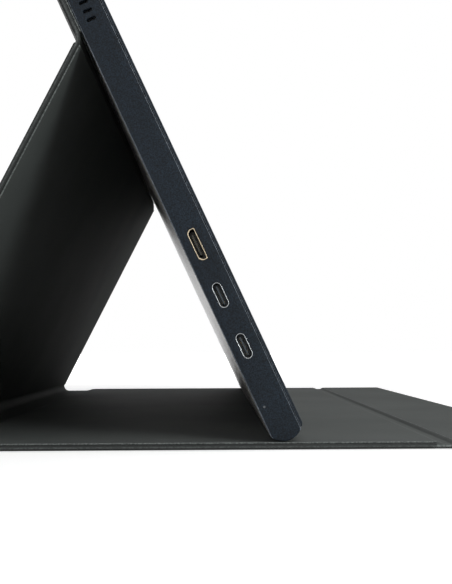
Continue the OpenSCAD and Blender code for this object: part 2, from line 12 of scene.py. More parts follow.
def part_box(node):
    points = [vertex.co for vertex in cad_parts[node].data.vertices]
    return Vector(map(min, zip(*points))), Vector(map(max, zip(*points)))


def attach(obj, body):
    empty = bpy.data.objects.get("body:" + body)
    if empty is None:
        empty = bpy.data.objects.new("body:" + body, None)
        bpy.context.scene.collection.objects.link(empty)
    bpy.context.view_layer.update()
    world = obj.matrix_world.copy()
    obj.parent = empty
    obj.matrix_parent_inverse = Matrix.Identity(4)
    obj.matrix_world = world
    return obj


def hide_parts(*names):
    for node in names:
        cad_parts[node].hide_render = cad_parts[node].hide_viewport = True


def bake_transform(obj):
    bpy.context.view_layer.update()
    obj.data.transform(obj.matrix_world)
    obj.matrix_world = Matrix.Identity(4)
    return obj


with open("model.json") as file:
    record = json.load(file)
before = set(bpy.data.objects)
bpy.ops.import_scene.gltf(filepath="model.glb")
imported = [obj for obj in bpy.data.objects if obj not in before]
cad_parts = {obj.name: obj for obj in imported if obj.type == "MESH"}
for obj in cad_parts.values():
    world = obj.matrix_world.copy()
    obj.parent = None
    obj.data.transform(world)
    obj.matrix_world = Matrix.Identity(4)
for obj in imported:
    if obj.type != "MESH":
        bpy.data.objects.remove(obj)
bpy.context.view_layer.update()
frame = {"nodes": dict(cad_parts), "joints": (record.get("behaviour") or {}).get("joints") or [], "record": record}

bl_info = {
    "name": "Portable monitor with cover",
    "version": (1, 0, 0),
    "blender": (4, 5, 0),
    "location": "View3D > Sidebar > Monitor",
    "description": "Dresses the solids of a portable monitor that stands in its folding cover",
    "category": "Object",
}

MM = 0.001
JOINTS = {joint["name"]: joint for joint in frame["joints"]}
MOUNTS = {mount["name"]: mount for mount in frame["record"]["mounts"]}
NODES = frame["nodes"]

# Sizes of the solids, in millimetres, for the places that a node's box doesn't give
MON_T = 11.4
END_R = 6.4
SEAM_T = 10.1
WALL = 1.6
END_WALL = 4.2
PORT_DEPTH = 4.7
PORT_FIRST = 34.2
PORT_PITCH = 18.5
JACK_UP = 34.0
JACK_DEPTH = 4.85
JACK_R = 2.3
LIGHT_UP = 13.3
LIGHT_DEPTH = 2.2
POWER_UP = 56.0
ROCKER_UP = 82.0
KEY_PROUD = 0.5
SPEAKER_TOP = 59.0
SLOT_PITCH = 3.2
SLOT_COUNT = 7
PANEL_T = 2.4
BOARD_T = 1.2
LINING_T = 0.5
STRIP_T = 1.2
REAR_STRIP = 7.0
APEX_STRIP = 3.0
BACK_FROM = 154.0
GRIP_GAP = 0.2

# Sizes that only the looks have, in millimetres
LIGHT_R = 0.32        # radius of the status light's opening
SEAM_GAP = 0.26       # between the housing's and the bezel's bevels
FRONT_CHAMFER = 0.18  # along the bezel's front
RIM_REACH = 4.0       # width of the band in which the attribute "rim" rises from 0 to 1
LINE_REACH = 0.7      # half width of the pressed line
LIP_REACH = 1.6       # rim of a skin, inside which the face lies as low as the board needs
EDGE_ZONE = 8.0       # widest zone of close rows along a panel's edge
EDGE_ROWS = 14.0      # rows in that zone
CALM_REACH = 20.0     # distance from the edge over which the soft waves grow to their height
WELD_REACH = 0.002    # distance within which a panel's two sides are welded
FOLD_LAP = 0.9        # how far skin and lining reach past the board's ends at a fold
FOLD_CORNER = 0.3     # radius of a panel's corners at a fold
TUCK = 2.0            # how far the soft strips reach under the panels' ends
COLUMNS = 97          # grid columns across the cover


def frame_matrix(across, over, up, origin):
    """Matrix from a local frame in metres to the row frame."""
    rows = [[across[i], over[i], up[i], origin[i]] for i in range(3)]
    return Matrix(rows + [[0, 0, 0, 1]])


def joint_at(name):
    return Vector(JOINTS[name]["pos_m"])


def axis_of(matrix, column):
    return matrix.col[column].to_3d()


def monitor_frame():
    """Local X goes from the monitor's back to its front, Z up from its foot."""
    forward = Vector(JOINTS["monitor_detach"]["axis"]).normalized()
    up = Vector((-forward.z, 0, forward.x))
    port = Vector(MOUNTS["lower_data_port"]["pos_m"])
    origin = Vector((port.x, 0, port.z)) - forward * PORT_DEPTH * MM - up * PORT_FIRST * MM
    return frame_matrix(forward, Vector((0, 1, 0)), up, origin)


def leg_frame():
    """Local X goes up the leg from the rear fold, Z from its outer to its inner side."""
    rear = joint_at("stand_fold")
    along = (joint_at("monitor_tilt") - rear).normalized()
    inward = Vector((along.z, 0, -along.x))
    origin = rear + along * REAR_STRIP * MM - inward * PANEL_T / 2 * MM
    return frame_matrix(along, Vector((0, -1, 0)), inward, origin)


def back_frame():
    """Local X goes up the panel that holds the monitor, Z towards the monitor's back."""
    forward, up = axis_of(MONITOR, 0), axis_of(MONITOR, 2)
    origin = MONITOR.translation - forward * (GRIP_GAP + PANEL_T) * MM + up * BACK_FROM * MM
    return frame_matrix(up, Vector((0, -1, 0)), forward, origin)


def span(name, matrix):
    """Lowest and highest corners of a CAD node in a local frame, in millimetres."""
    turn = matrix.inverted()
    points = np.array([turn @ v.co for v in NODES[name].data.vertices]) / MM
    return points.min(0), points.max(0)


MONITOR = monitor_frame()
LEG = leg_frame()
BACK = back_frame()
BASE = Matrix.Translation((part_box("base_board")[0].x, 0, 0))
FLAP = Matrix.Translation((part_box("flap_skin")[0].x, 0, 0))
HALF_W = -MOUNTS["lower_data_port"]["pos_m"][1] / MM
MON_H = span("rear_housing", MONITOR)[1][2]


# Meshes

def link(name, data):
    obj = bpy.data.objects.new(name, data)
    bpy.context.scene.collection.objects.link(obj)
    return obj


def mesh_object(name, verts, faces, matrix=None, scale=MM):
    mesh = bpy.data.meshes.new(name)
    mesh.from_pydata([Vector(v) * scale for v in verts], [], faces)
    bm = bmesh.new()
    bm.from_mesh(mesh)
    bmesh.ops.recalc_face_normals(bm, faces=bm.faces)
    bm.to_mesh(mesh)
    bm.free()
    if matrix is not None:
        mesh.transform(matrix)
    return link(name, mesh)


def soft_shade(obj, angle):
    """Smooth faces with sharp edges past an angle in degrees."""
    mesh = obj.data
    mesh.polygons.foreach_set("use_smooth", [True] * len(mesh.polygons))
    mesh.set_sharp_from_angle(angle=math.radians(angle))
    return obj


def bake_down(obj):
    """Turns an object with live modifiers into one with a plain mesh."""
    graph = bpy.context.evaluated_depsgraph_get()
    mesh = bpy.data.meshes.new_from_object(obj.evaluated_get(graph), depsgraph=graph)
    mesh.name = obj.name
    obj.modifiers.clear()
    old = obj.data
    obj.data = mesh
    bpy.data.meshes.remove(old)
    return obj


def cut_away(obj, cutter, operation="DIFFERENCE"):
    modifier = obj.modifiers.new("cut", "BOOLEAN")
    modifier.operation = operation
    modifier.solver = "EXACT"
    modifier.object = cutter
    bake_down(obj)
    bpy.data.objects.remove(cutter)


def joined(name, objects):
    """One object from several, with all their materials."""
    bm = bmesh.new()
    materials = []
    for obj in objects:
        start = len(bm.faces)
        bm.from_mesh(obj.data)
        bm.faces.ensure_lookup_table()
        own = list(obj.data.materials)
        materials += [material for material in own if material not in materials]
        for face in bm.faces[start:]:
            if own:
                face.material_index = materials.index(own[min(face.material_index, len(own) - 1)])
    mesh = bpy.data.meshes.new(name)
    bm.to_mesh(mesh)
    bm.free()
    for material in materials:
        mesh.materials.append(material)
    for obj in objects:
        bpy.data.objects.remove(obj)
    return link(name, mesh)


def loft(rings, capped=True):
    """Vertices and faces of a tube through closed rings that have the same count of points."""
    count, last = len(rings[0]), len(rings) - 1
    verts = [point for ring in rings for point in ring]
    faces = []
    for k in range(last):
        for i in range(count):
            j = (i + 1) % count
            faces.append((k * count + i, k * count + j, (k + 1) * count + j, (k + 1) * count + i))
    if capped:
        faces.append(tuple(range(count)))
        faces.append(tuple(last * count + i for i in reversed(range(count))))
    return verts, faces


def ring_tube(rings):
    """A loft whose last ring joins its first."""
    verts, faces = loft(rings, capped=False)
    count, last = len(rings[0]), len(rings) - 1
    for i in range(count):
        j = (i + 1) % count
        faces.append((last * count + i, last * count + j, j, i))
    return verts, faces


def block(low, high):
    verts = [(x, y, z) for x in (low[0], high[0]) for y in (low[1], high[1]) for z in (low[2], high[2])]
    faces = [(0, 1, 3, 2), (4, 6, 7, 5), (0, 4, 5, 1), (2, 3, 7, 6), (0, 2, 6, 4), (1, 5, 7, 3)]
    return verts, faces


def merged(parts):
    """One list of vertices and one of faces from several."""
    verts, faces = [], []
    for part_verts, part_faces in parts:
        start = len(verts)
        verts += list(part_verts)
        faces += [tuple(start + i for i in face) for face in part_faces]
    return verts, faces


def belongs(obj, body, replaced=None):
    """Ties a piece to its body and the CAD node whose place it takes."""
    if body:
        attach(obj, body)
    if replaced:
        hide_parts(replaced)


# Outlines in the monitor's section, as (depth, height) pairs

def round_corner(point, ways, radius, start, turn, steps):
    """Points of an arc in a corner; ways are the signs of its directions outwards."""
    points = []
    for k in range(steps + 1):
        a = math.radians(start + turn * k / steps)
        points.append((point[0] - ways[0] * radius + radius * math.cos(a),
                       point[1] - ways[1] * radius + radius * math.sin(a)))
    return points


def stadium(thick, long, grow=0.0, steps=12):
    radius = thick / 2 + grow
    half = (long - thick) / 2
    points = []
    for side, start in ((1, 0.0), (-1, math.pi)):
        for k in range(steps + 1):
            a = start + math.pi * k / steps
            points.append((radius * math.cos(a), side * half + radius * math.sin(a)))
    return points


def circle(radius, steps=32):
    return [(radius * math.cos(2 * math.pi * k / steps), radius * math.sin(2 * math.pi * k / steps))
            for k in range(steps)]


def data_outline(grow):
    return stadium(3.26, 8.94, grow)


def video_outline(grow, wide=11.3, thick=3.0, taper=1.1, corner=0.5):
    """Straight towards the screen, with cut corners towards the back."""
    half, deep = wide / 2 + grow, thick / 2 + grow
    knees = [(deep, -half), (deep, half), (-deep + taper, half), (-deep, half - taper),
             (-deep, -half + taper), (-deep + taper, -half)]
    points = []
    for i, knee in enumerate(knees):
        here = Vector(knee)
        before = (Vector(knees[i - 1]) - here).normalized()
        after = (Vector(knees[(i + 1) % len(knees)]) - here).normalized()
        start, end = here + before * corner, here + after * corner
        for k in range(5):
            s = k / 4
            points.append(tuple(start * (1 - s) ** 2 + here * 2 * s * (1 - s) + end * s ** 2))
    return points


def slot_outline(grow):
    return [(height, depth) for depth, height in stadium(1.2, 3.4, grow)]


def bar_outline(width, thick, grow, corner=0.12):
    """A flat bar with small rounded corners."""
    half, deep = width / 2 + grow, thick / 2 + grow
    points = []
    for ch, ct, start in ((1, 1, 0), (1, -1, 90), (-1, -1, 180), (-1, 1, 270)):
        points += round_corner((ct * deep, ch * half), (ct, ch), corner, start, 90, 3)
    return points


def section_outline(inset, from_t, to_t, bevel, face=None, steps=28):
    """The monitor's section between two depths, inset from the outer form, with a bevel at the seam."""
    radius, half_t = END_R - inset, MON_T / 2
    face = inset if face is None else face

    def arc(start, end, top):
        a0, a1 = (math.asin(max(-1.0, min(1.0, (t - half_t) / radius))) for t in (start, end))
        points = []
        for k in range(steps + 1):
            a = a0 + (a1 - a0) * k / steps
            drop = END_R - radius * math.cos(a)
            points.append((half_t + radius * math.sin(a), MON_H - drop if top else drop))
        return points

    if from_t <= face:
        seam, start, end = to_t, to_t - bevel, face
    else:
        seam, start, end = from_t, from_t + bevel, min(to_t, MON_T - face)
    points = arc(start, end, False) + arc(end, start, True)
    return points + [(seam, points[-1][1] - max(bevel, 0.01)), (seam, points[0][1] + max(bevel, 0.01))]


def across(outline, y, depth=0.0, up=0.0):
    return [(depth + t, y, up + h) for t, h in outline]


def side_cutter(outline_at, depth, up, side, flare):
    """A cutter from one side face through the wall, with a chamfered mouth."""
    steps = ((-0.5, flare), (0.0, flare), (flare, 0.0), (WALL + 1.0, 0.0))
    return loft([across(outline_at(grow), side * (HALF_W - inward), depth, up) for inward, grow in steps])


# Node trees

class Field:
    """A number socket that takes plain arithmetic, which adds Math nodes to its tree."""
    def __init__(self, socket):
        self.socket = socket

    def __add__(self, other):
        return calc("ADD", self, other)

    def __sub__(self, other):
        return calc("SUBTRACT", self, other)

    def __rsub__(self, other):
        return calc("SUBTRACT", other, self)

    def __mul__(self, other):
        return calc("MULTIPLY", self, other)

    def __truediv__(self, other):
        return calc("DIVIDE", self, other)


def feed(target, value):
    """Links a socket to a field or to another socket, or sets its value."""
    if isinstance(value, Field):
        value = value.socket
    if isinstance(value, bpy.types.NodeSocket):
        target.id_data.links.new(value, target)
    else:
        target.default_value = value


def add(tree, kind, sockets=(), **settings):
    """A new node with its settings made and its sockets fed."""
    made = tree.nodes.new(kind)
    for key, value in settings.items():
        setattr(made, key, value)
    for key, value in dict(sockets).items():
        feed(made.inputs[key], value)
    return made


def calc(operation, *values, clamp=False):
    """A Math node in the tree of its first field."""
    tree = next(value.socket.id_data for value in values if isinstance(value, Field))
    made = add(tree, "ShaderNodeMath", enumerate(values), operation=operation, use_clamp=clamp)
    return Field(made.outputs[0])


def new_tree(kind, name, inputs, outputs):
    """A node group, its inputs as fields by label, and the sockets of its output node."""
    tree = bpy.data.node_groups.new(name, kind)
    for label, (form, value) in inputs.items():
        socket = tree.interface.new_socket(label, in_out="INPUT", socket_type="NodeSocket" + form)
        if value is not None:
            socket.default_value = value
    for label, form in outputs.items():
        tree.interface.new_socket(label, in_out="OUTPUT", socket_type="NodeSocket" + form)
    given = {socket.name: Field(socket) for socket in tree.nodes.new("NodeGroupInput").outputs}
    return tree, given, tree.nodes.new("NodeGroupOutput").inputs


def shader_group(name, inputs, *outputs):
    """A shader group with a vector and number inputs, given as label and value, and number outputs."""
    numbers = {label: ("Float", value) for label, value in inputs.items()}
    return new_tree("ShaderNodeTree", name, {"Vector": ("Vector", None), **numbers}, dict.fromkeys(outputs, "Float"))


def noise(tree, vector, scale, detail=2.0):
    made = add(tree, "ShaderNodeTexNoise", {"Vector": vector, "Scale": scale, "Detail": detail})
    return Field(made.outputs["Fac"])


def ramp(tree, value, start, end, low=0.0, high=1.0, curve="LINEAR"):
    """Goes from low to high while the value goes from start to end."""
    made = add(tree, "ShaderNodeMapRange", {"Value": value, "From Min": start, "From Max": end,
                                            "To Min": low, "To Max": high}, interpolation_type=curve)
    return Field(made.outputs["Result"])


def split(tree, vector):
    return [Field(part) for part in add(tree, "ShaderNodeSeparateXYZ", {0: vector}).outputs]


def together(tree, *parts):
    return add(tree, "ShaderNodeCombineXYZ", enumerate(parts)).outputs[0]


@functools.cache
def grain_group():
    """Pebbled grain of soft-touch leather."""
    tree, given, out = shader_group("pebble_grain", {"Scale": 1500.0, "Unevenness": 0.4}, "Height")
    cells = add(tree, "ShaderNodeTexVoronoi", {"Smoothness": 0.35, "Vector": given["Vector"],
                                               "Scale": given["Scale"]}, feature="SMOOTH_F1")
    coarse = noise(tree, given["Vector"], given["Scale"] * 0.31, 3.0)
    feed(out["Height"], 1.0 - Field(cells.outputs["Distance"]) + coarse * given["Unevenness"])
    return tree


@functools.cache
def brush_group():
    """Fine parallel lines left by brushing or rolling, across the monitor's width."""
    tree, given, out = shader_group("brushed_lines", {"Scale": 3000.0}, "Height")
    stretch = add(tree, "ShaderNodeMapping", {"Scale": (1.0, 0.02, 1.0), "Vector": given["Vector"]})
    feed(out["Height"], noise(tree, stretch.outputs["Vector"], given["Scale"], 3.0))
    return tree


@functools.cache
def mottle_group():
    """Cloudy and fine variation of tone, both from 0 to 1."""
    tree, given, out = shader_group("cloudy_tone", {"Cloud Scale": 18.0, "Fine Scale": 2200.0}, "Cloud", "Fine")
    for label, detail in (("Cloud", 4.0), ("Fine", 2.0)):
        feed(out[label], ramp(tree, noise(tree, given["Vector"], given[label + " Scale"], detail), 0.3, 0.7))
    return tree


@functools.cache
def dust_group():
    """Fine dust that settles on faces turned upwards."""
    tree, given, out = shader_group("settled_dust", {"Amount": 0.3}, "Mask")
    normal = add(tree, "ShaderNodeNewGeometry").outputs["Normal"]
    up = calc("POWER", calc("MAXIMUM", split(tree, normal)[2], 0.0), 3.0)
    specks = ramp(tree, noise(tree, given["Vector"], 900.0, 5.0), 0.55, 0.8)
    patches = noise(tree, given["Vector"], 14.0)
    feed(out["Mask"], calc("MULTIPLY", specks * patches * up, given["Amount"], clamp=True))
    return tree


@functools.cache
def painted_rim_group():
    """A gritty mask along a panel's rim, where the attribute "rim" lies past a value; the cover's materials paint
    highlights and shade with it.
    """
    tree, given, out = shader_group("rubbed_rim", {"From": 0.9, "To": 0.95, "Grit": 0.5}, "Mask")
    rim = add(tree, "ShaderNodeAttribute", attribute_name="rim").outputs["Fac"]
    band = ramp(tree, rim, given["From"], given["To"])
    grit = ramp(tree, noise(tree, given["Vector"], 1300.0), 0.4, 0.6, 1.0 - given["Grit"])
    feed(out["Mask"], calc("MULTIPLY", band, grit, clamp=True))
    return tree


def use_group(tree, group, vector, **values):
    """Outputs of a group that is placed in a tree with its own values."""
    sockets = {label.replace("_", " "): value for label, value in values.items()}
    return add(tree, "ShaderNodeGroup", {"Vector": vector, **sockets}, node_tree=group).outputs


def mix_colour(tree, factor, first, second, blend="MIX"):
    first, second = (value if isinstance(value, bpy.types.NodeSocket) else (*value, 1.0)
                     for value in (first, second))
    return add(tree, "ShaderNodeMix", {0: factor, 6: first, 7: second}, data_type="RGBA",
               blend_type=blend).outputs[2]


def shade_of(colour, factor):
    return tuple(min(1.0, channel * factor) for channel in colour[:3])


# Materials

DUST_COLOUR = (0.42, 0.41, 0.39)
METAL = {"metallic": 1.0, "brushed": True}

# Colour or the name of its setting, roughness; cloudy tone, fine tone and relief as a scale and an amount, which
# is a height in millimetres for the relief; and the rest
FINISHES = {
    "outer_leather": ("leather", 0.66, (16.0, 0.12), (1900.0, 0.14), (1350.0, 0.05),
                      {"dust": 0.08, "specular": 0.14}),
    "inner_lining": ("lining", 0.74, (16.0, 0.12), (2600.0, 0.10), (2100.0, 0.022),
                     {"dust": 0.08, "specular": 0.045}),
    "housing_plastic": ("housing", 0.5, (45.0, 0.25), (2300.0, 0.80), (2600.0, 0.045),
                        {"dust": 0.03, "specular": 0.16}),
    "bezel_plastic": ("bezel", 0.5, (45.0, 0.22), (2300.0, 0.70), (2600.0, 0.035),
                      {"dust": 0.03, "specular": 0.16}),
    "back_plate": ("plate", 0.30, (20.0, 0.06), (4200.0, 0.10), (5200.0, 0.002),
                   {"rough_spread": 0.04, "specular": 0.3}),
    # Painted highlight: a lighter colour on the back edge's and the seam's bevels
    "edge_line": ((0.138, 0.160, 0.190), 0.34, (90.0, 0.30), (1500.0, 0.60), (3000.0, 0.006), {}),
    "key_plastic": ("housing", 0.33, (80.0, 0.1), (3000.0, 0.2), (3600.0, 0.008), {}),
    "screen_film": ((0.009, 0.010, 0.012), 0.40, (9.0, 0.06), (5200.0, 0.12), (5200.0, 0.004),
                    {"dust": 0.03, "specular": 0.22}),
    "port_steel": ((0.49, 0.51, 0.525), 0.26, (300.0, 0.06), (6000.0, 0.05), (9000.0, 0.001), METAL),
    "port_gold": ((0.45, 0.375, 0.27), 0.28, (260.0, 0.12), (6000.0, 0.06), (9000.0, 0.001), METAL),
    # Painted shade: near black on the inner walls of the port shells, in place of their steel
    "shell_inside": ((0.005, 0.005, 0.005), 0.6, (200.0, 0.1), (6000.0, 0.1), (7000.0, 0.004),
                     {"specular": 0.1}),
    "port_plastic": ((0.008, 0.008, 0.009), 0.42, (200.0, 0.1), (6000.0, 0.12), (7000.0, 0.006), {}),
    "tongue_plastic": ((0.038, 0.050, 0.062), 0.40, (200.0, 0.1), (6000.0, 0.12), (7000.0, 0.006), {}),
    "video_tongue_plastic": ((0.020, 0.019, 0.013), 0.40, (200.0, 0.1), (6000.0, 0.12), (7000.0, 0.006), {}),
    "contact_gold": ((0.80, 0.62, 0.30), 0.2, (500.0, 0.08), (9000.0, 0.06), (9000.0, 0.002),
                     {"metallic": 1.0}),
    "light_lens": ((0.10, 0.11, 0.12), 0.3, (900.0, 0.05), (9000.0, 0.04), (9000.0, 0.001), {}),
    "speaker_mesh": ((0.012, 0.012, 0.013), 0.6, (300.0, 0.1), (9000.0, 0.3), (5200.0, 0.05), {}),
    "stiff_board": ((0.30, 0.27, 0.21), 0.8, (70.0, 0.10), (1600.0, 0.16), (1800.0, 0.05), {}),
    "magnet_steel": ((0.60, 0.61, 0.62), 0.3, (120.0, 0.10), (3000.0, 0.06), (3000.0, 0.004), METAL),
    "tray_metal": ((0.55, 0.56, 0.57), 0.42, (30.0, 0.08), (3000.0, 0.05), (1400.0, 0.01), METAL),
    "black_tape": ((0.008, 0.008, 0.009), 0.6, (60.0, 0.1), (3000.0, 0.2), (2400.0, 0.01), {}),
    "optic_sheet": ((0.72, 0.73, 0.72), 0.3, (30.0, 0.03), (4000.0, 0.03), (5000.0, 0.004), {}),
    "lamp_strip": ((0.62, 0.56, 0.34), 0.4, (260.0, 0.15), (3000.0, 0.08), (4000.0, 0.008), {}),
    "circuit_board": ((0.014, 0.085, 0.040), 0.35, (40.0, 0.1), (3000.0, 0.08), (4000.0, 0.004), {}),
    "chip_plastic": ((0.018, 0.019, 0.021), 0.45, (120.0, 0.1), (3600.0, 0.2), (4200.0, 0.01), {}),
    "screw_steel": ((0.52, 0.53, 0.55), 0.3, (400.0, 0.1), (5000.0, 0.08), (6000.0, 0.004), METAL),
    "cable_film": ((0.030, 0.034, 0.040), 0.35, (60.0, 0.08), (3000.0, 0.1), (1800.0, 0.02),
                   {"brushed": True}),
    "wire_red": ((0.30, 0.022, 0.020), 0.4, (200.0, 0.1), (4000.0, 0.1), (5000.0, 0.01), {}),
}

# Bands of painted highlight and painted shade along the cover's rims: where "rim" makes them start and stand full,
# their grit, and the tone's factor there. The outer leather's darker band over its round edge is partly dark edge
# paint and partly painted shade; its thin lighter band at the very edge and the lining's band are painted highlights
PAINTED_RIMS = {
    "outer_leather": ((0.72, 0.78, 0.2, 0.45), (0.975, 0.995, 0.6, 1.6)),
    "inner_lining": ((0.905, 0.945, 0.75, 2.8),),
}
MATERIALS = {}


def finish_material(name, colour, rough, cloud, fine, relief, metallic=0.0, brushed=False, dust=0.0,
                    specular=0.5, rough_spread=0.08):
    """A material with cloudy and fine tone, a grain or brushing in its relief, painted highlights and shade along
    rims, and dust.
    """
    material = bpy.data.materials.new(name)
    material.use_nodes = True
    tree = material.node_tree
    place = add(tree, "ShaderNodeTexCoord").outputs["Object"]
    tone = use_group(tree, mottle_group(), place, Cloud_Scale=cloud[0], Fine_Scale=fine[0])
    base = mix_colour(tree, tone["Cloud"], shade_of(colour, 1 - cloud[1]), shade_of(colour, 1 + cloud[1]))
    fine_tone = mix_colour(tree, tone["Fine"], (1 - fine[1],) * 3, (1 + fine[1],) * 3)
    base = mix_colour(tree, 1.0, base, fine_tone, "MULTIPLY")
    # Painted highlights and painted shade along the cover's rims (the outer leather's dark band is partly edge
    # paint)
    for start, end, grit, factor in PAINTED_RIMS.get(name, ()):
        mask = use_group(tree, painted_rim_group(), place, From=start, To=end, Grit=grit)["Mask"]
        base = mix_colour(tree, mask, base, shade_of(colour, factor))
    low, high = max(0.03, rough - rough_spread), min(1.0, rough + rough_spread)
    roughness = ramp(tree, tone["Fine"], 0.0, 1.0, low, high)
    if dust:
        mask = Field(use_group(tree, dust_group(), place, Amount=dust)["Mask"])
        base = mix_colour(tree, mask, base, DUST_COLOUR)
        roughness = calc("ADD", roughness, mask * 0.3, clamp=True)
    group = brush_group() if brushed else grain_group()
    height = use_group(tree, group, place, Scale=relief[0])["Height"]
    bump = add(tree, "ShaderNodeBump", {"Distance": relief[1] * MM, "Height": height})
    inputs = tree.nodes["Principled BSDF"].inputs
    for label, value in (("Base Color", base), ("Roughness", roughness), ("Normal", bump.outputs["Normal"]),
                         ("Metallic", metallic), ("Specular IOR Level", specular)):
        feed(inputs[label], value)
    return material


def add_traces(material, colour):
    """Lays a grid of traces under a circuit board's green mask."""
    tree = material.node_tree
    base = tree.nodes["Principled BSDF"].inputs["Base Color"]
    place = add(tree, "ShaderNodeTexCoord").outputs["Object"]
    traces = add(tree, "ShaderNodeTexBrick", {"Scale": 260.0, "Mortar Size": 0.06, "Vector": place})
    feed(base, mix_colour(tree, traces.outputs["Fac"], base.links[0].from_socket, shade_of(colour, 2.2)))


def give(obj, *names):
    """Replaces an object's materials by the named ones."""
    obj.data.materials.clear()
    for name in names:
        obj.data.materials.append(MATERIALS[name])


# Geometry Nodes trees

@functools.cache
def panel_tree():
    """A slab with round edges and rounded corners, a pressed line along its border and soft waves.

    Two plain grids are spread by rule, with their rows close together near the border, and joined at the edge.
    The low and the high end have their own corner radius. The attribute "rim" rises to 1 at the very edge.
    """
    tree, given, out = new_tree("GeometryNodeTree", "soft_panel", {
        "Length": ("Float", 0.16), "Width": ("Float", 0.36), "Thickness": ("Float", 0.0019),
        "Low Corner": ("Float", 0.003), "High Corner": ("Float", 0.003), "Border": ("Float", 0.005),
        "Line Depth": ("Float", 0.0001), "Wave": ("Float", 0.0001), "Recess": ("Float", 0.0),
        "Rows Along": ("Int", 57), "Rows Across": ("Int", COLUMNS),
        "Inner Side": ("Material", None), "Outer Side": ("Material", None)}, {"Geometry": "Geometry"})
    grid = add(tree, "GeometryNodeMeshGrid", {
        "Vertices X": given["Rows Along"], "Vertices Y": given["Rows Across"],
        "Size X": given["Rows Along"] - 1.0, "Size Y": given["Rows Across"] - 1.0})
    raw = split(tree, add(tree, "GeometryNodeInputPosition").outputs[0])

    def spread_axis(value, size, rows):
        """The place of each row along one axis, and half the size."""
        last, half = (rows - 1.0) * 0.5, size * 0.5
        zone = calc("MINIMUM", half * 0.7, EDGE_ZONE * MM)
        from_edge = last - calc("ABSOLUTE", value)
        near = calc("POWER", calc("MINIMUM", from_edge, EDGE_ROWS) / EDGE_ROWS, 1.8) * zone
        beyond = calc("MAXIMUM", from_edge - EDGE_ROWS, 0.0)
        far = beyond / (last - EDGE_ROWS) * (half - zone)
        return calc("SIGN", value) * (half - (near + far)), half

    x, half_x = spread_axis(raw[0], given["Length"], given["Rows Along"])
    y, half_y = spread_axis(raw[1], given["Width"], given["Rows Across"])
    widening = given["High Corner"] - given["Low Corner"]
    radius = given["Low Corner"] + widening * calc("GREATER_THAN", raw[0], 0.0)

    def past_core(value, half):
        """How far a row lies past the corners' centres, its sign, and its place up to them."""
        size, sign, core = calc("ABSOLUTE", value), calc("SIGN", value), half - radius
        return calc("MAXIMUM", size - core, 0.0), sign, sign * calc("MINIMUM", size, core)

    past_x, sign_x, kept_x = past_core(x, half_x)
    past_y, sign_y, kept_y = past_core(y, half_y)
    ring = calc("MAXIMUM", past_x, past_y)
    share = ring / calc("MAXIMUM", calc("SQRT", past_x * past_x + past_y * past_y), 1e-9)
    round_x = kept_x + sign_x * (past_x * share)
    round_y = kept_y + sign_y * (past_y * share)
    edge = calc("MINIMUM", half_x - calc("ABSOLUTE", x), half_y - calc("ABSOLUTE", y))
    outer = calc("GREATER_THAN", ring, 0.0)
    edge = calc("MAXIMUM", outer * (radius - ring) + (1.0 - outer) * edge, 0.0)

    half_t = given["Thickness"] * 0.5
    lack = calc("MAXIMUM", half_t - edge, 0.0)
    rise = calc("SQRT", calc("MAXIMUM", half_t * half_t - lack * lack, 0.0))
    off_line = (edge - given["Border"]) / (LINE_REACH * MM)
    dip = calc("EXPONENT", off_line * off_line * -1.0) * given["Line Depth"]
    waves = noise(tree, together(tree, round_x, round_y, given["Length"]), 21.0, 1.0)
    wave = (waves - 0.5) * (calc("MINIMUM", edge / (CALM_REACH * MM), 1.0) * given["Wave"])
    recess = calc("GREATER_THAN", edge, LIP_REACH * MM) * given["Recess"]
    rim = calc("SUBTRACT", 1.0, edge / (RIM_REACH * MM), clamp=True)
    rimmed = add(tree, "GeometryNodeStoreNamedAttribute", {
        "Name": "rim", "Geometry": grid.outputs["Mesh"], "Value": rim}, data_type="FLOAT", domain="POINT")

    both = tree.nodes.new("GeometryNodeJoinGeometry")
    for sign, material in ((1, "Inner Side"), (-1, "Outer Side")):
        height = half_t + rise * sign
        if sign > 0:
            height = height - dip + wave - recess
        shape = add(tree, "GeometryNodeSetPosition", {
            "Geometry": rimmed.outputs["Geometry"],
            "Position": together(tree, round_x + half_x, round_y, height)}).outputs[0]
        if sign < 0:
            shape = add(tree, "GeometryNodeFlipFaces", {"Mesh": shape}).outputs[0]
        painted = add(tree, "GeometryNodeSetMaterial", {"Geometry": shape, "Material": given[material]})
        feed(both.inputs[0], painted.outputs[0])
    weld = add(tree, "GeometryNodeMergeByDistance", {"Distance": WELD_REACH * MM, "Geometry": both.outputs[0]})
    feed(out[0], add(tree, "GeometryNodeRealizeInstances", {0: weld.outputs[0]}).outputs[0])
    return tree


